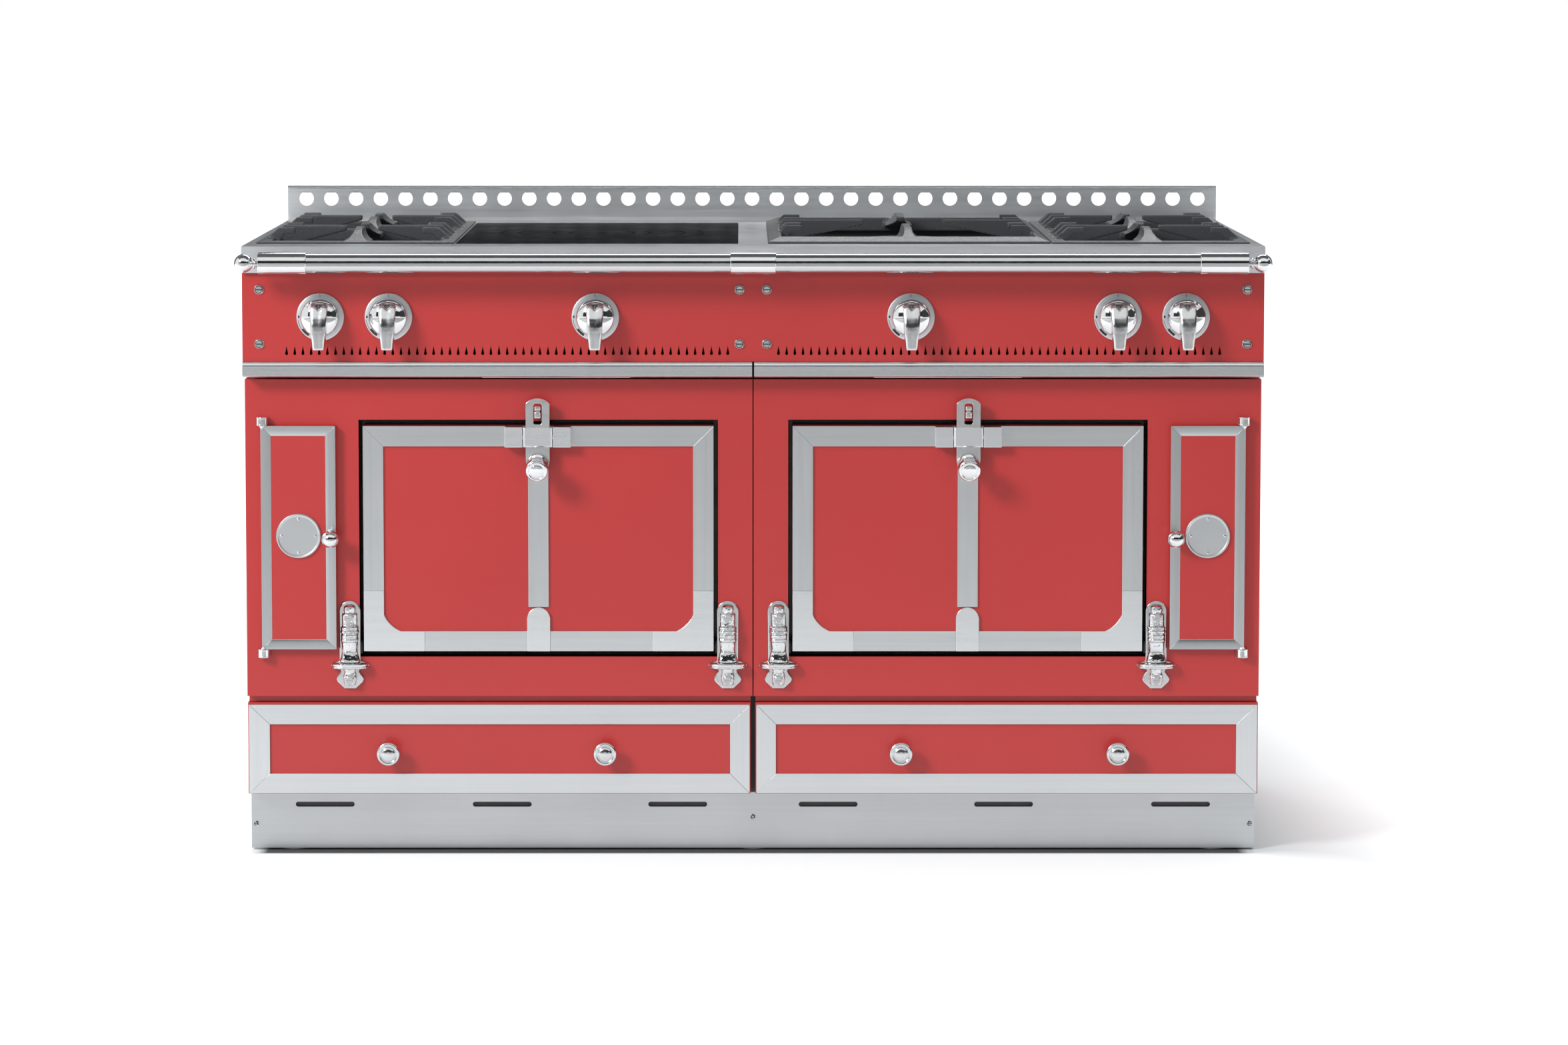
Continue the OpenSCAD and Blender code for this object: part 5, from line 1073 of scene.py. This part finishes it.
def backdrop():
    """White for the camera and for mirrors. As a light it is dimmer, and strongest from above."""
    world = bpy.data.worlds.new("world")
    world.use_nodes = True
    t = Nodes(world.node_tree)
    height = t.split(t.add("ShaderNodeTexCoord").outputs["Generated"])["Z"]
    ambient = t.fill(t.add("ShaderNodeBackground"), Color=WHITE, Strength=t.spread(height, *AMBIENT, 0, 1))
    shown = t.fill(t.add("ShaderNodeBackground"), Color=WHITE)
    mix = t.row(t.add("ShaderNodeMixShader"), t.seen_directly(), ambient.outputs[0], shown.outputs[0])
    t.row(t.add("ShaderNodeOutputWorld"), mix.outputs[0])
    SCENE.world = world


def area_light(name, place, target, size, watts):
    data = bpy.data.lights.new(name, "AREA")
    data.shape = "RECTANGLE"
    data.size, data.size_y = size
    data.energy = watts
    lamp = bpy.data.objects.new(name, data)
    lamp.location = place
    lamp.rotation_euler = (Vector(target) - Vector(place)).to_track_quat("-Z", "Y").to_euler()
    SCENE.collection.objects.link(lamp)


def card(name, corners, material, only_mirrored):
    """A flat sheet of the stage. A mirrored one shows only in glossy surfaces."""
    mesh = bpy.data.meshes.new(name)
    mesh.from_pydata(corners, [], [tuple(range(len(corners)))])
    mesh.materials.append(material)
    sheet = bpy.data.objects.new(name, mesh)
    SCENE.collection.objects.link(sheet)
    if only_mirrored:
        sheet.visible_camera = False
        sheet.visible_diffuse = False
        sheet.visible_shadow = False
        sheet.visible_transmission = False


def floor_shader():
    """A pale floor with a painted contact shadow, a dark line under the plinth's front. Away from the cooker,
    and less so on its right, a painted glow makes the camera and mirrors see it as bright as the backdrop."""
    s = Shader("floor")
    place = s.split(s.place)
    right = s.maths("SUBTRACT", place["X"], FOOT_X)
    left = s.maths("SUBTRACT", -FOOT_X, place["X"])
    behind = s.maths("SUBTRACT", place["Y"], FOOT_Y[1])
    before = s.maths("SUBTRACT", FOOT_Y[0], place["Y"])
    beside = s.maths("MAXIMUM", left, right)
    # Painted shadow: a dark strip on the floor right before the plinth's front.
    contact_shadow = s.maths("MULTIPLY", s.spread(before, 0, 1, -0.02, -0.01), s.spread(before, 1, 0, *CONTACT_SHADOW))
    contact_shadow = s.maths("MULTIPLY", contact_shadow, s.spread(beside, 1, 0, -0.02, -0.005))
    shadow_colour = shade(FLOOR_COLOUR, CONTACT_SHADOW_TONE)
    s.fill(s.surface, Base_Color=s.blend(contact_shadow, FLOOR_COLOUR, shadow_colour), Roughness=MATT)
    # Painted glow that the camera and mirrors see: low by the cooker and rising away from it.
    slack = s.maths("MULTIPLY", s.maths("MAXIMUM", right, 0.0), SOFTENING)
    lift = s.spread(before, 0, NEAR_LIFT, s.maths("SUBTRACT", FRONT_LIFT[0], slack),
                    s.maths("ADD", slack, FRONT_LIFT[1]))
    for gap, (start, end) in ((left, LEFT_LIFT), (right, RIGHT_LIFT), (behind, BACK_LIFT)):
        lift = s.maths("MAXIMUM", s.spread(gap, 0, NEAR_LIFT, start, end), lift)
    rise, start, end = FAR_LIFT
    away = s.maths("MAXIMUM", beside, s.maths("MAXIMUM", before, behind))
    lift = s.maths("ADD", lift, s.spread(away, 0, rise, start, end))
    lift = s.maths("MULTIPLY", s.seen_directly(), lift)
    glow = s.fill(s.add("ShaderNodeEmission"), Color=WHITE, Strength=lift)
    both = s.row(s.add("ShaderNodeAddShader"), s.surface.outputs[0], glow.outputs[0])
    s.row(s.output, both.outputs[0])
    return s.material


backdrop()
corners = [(-FLOOR, -FLOOR, 0), (FLOOR, -FLOOR, 0), (FLOOR, FLOOR, 0), (-FLOOR, FLOOR, 0)]
card("floor", corners, floor_shader(), False)
for name, (grey, corners) in CARDS.items():
    card(name, corners, Shader(name).finish(Base_Color=(grey, grey, grey, 1), Roughness=MATT), True)
for name, lamp in LAMPS.items():
    area_light(name, *lamp)

SCENE.view_settings.view_transform = "Standard"
SCENE.view_settings.look = "None"
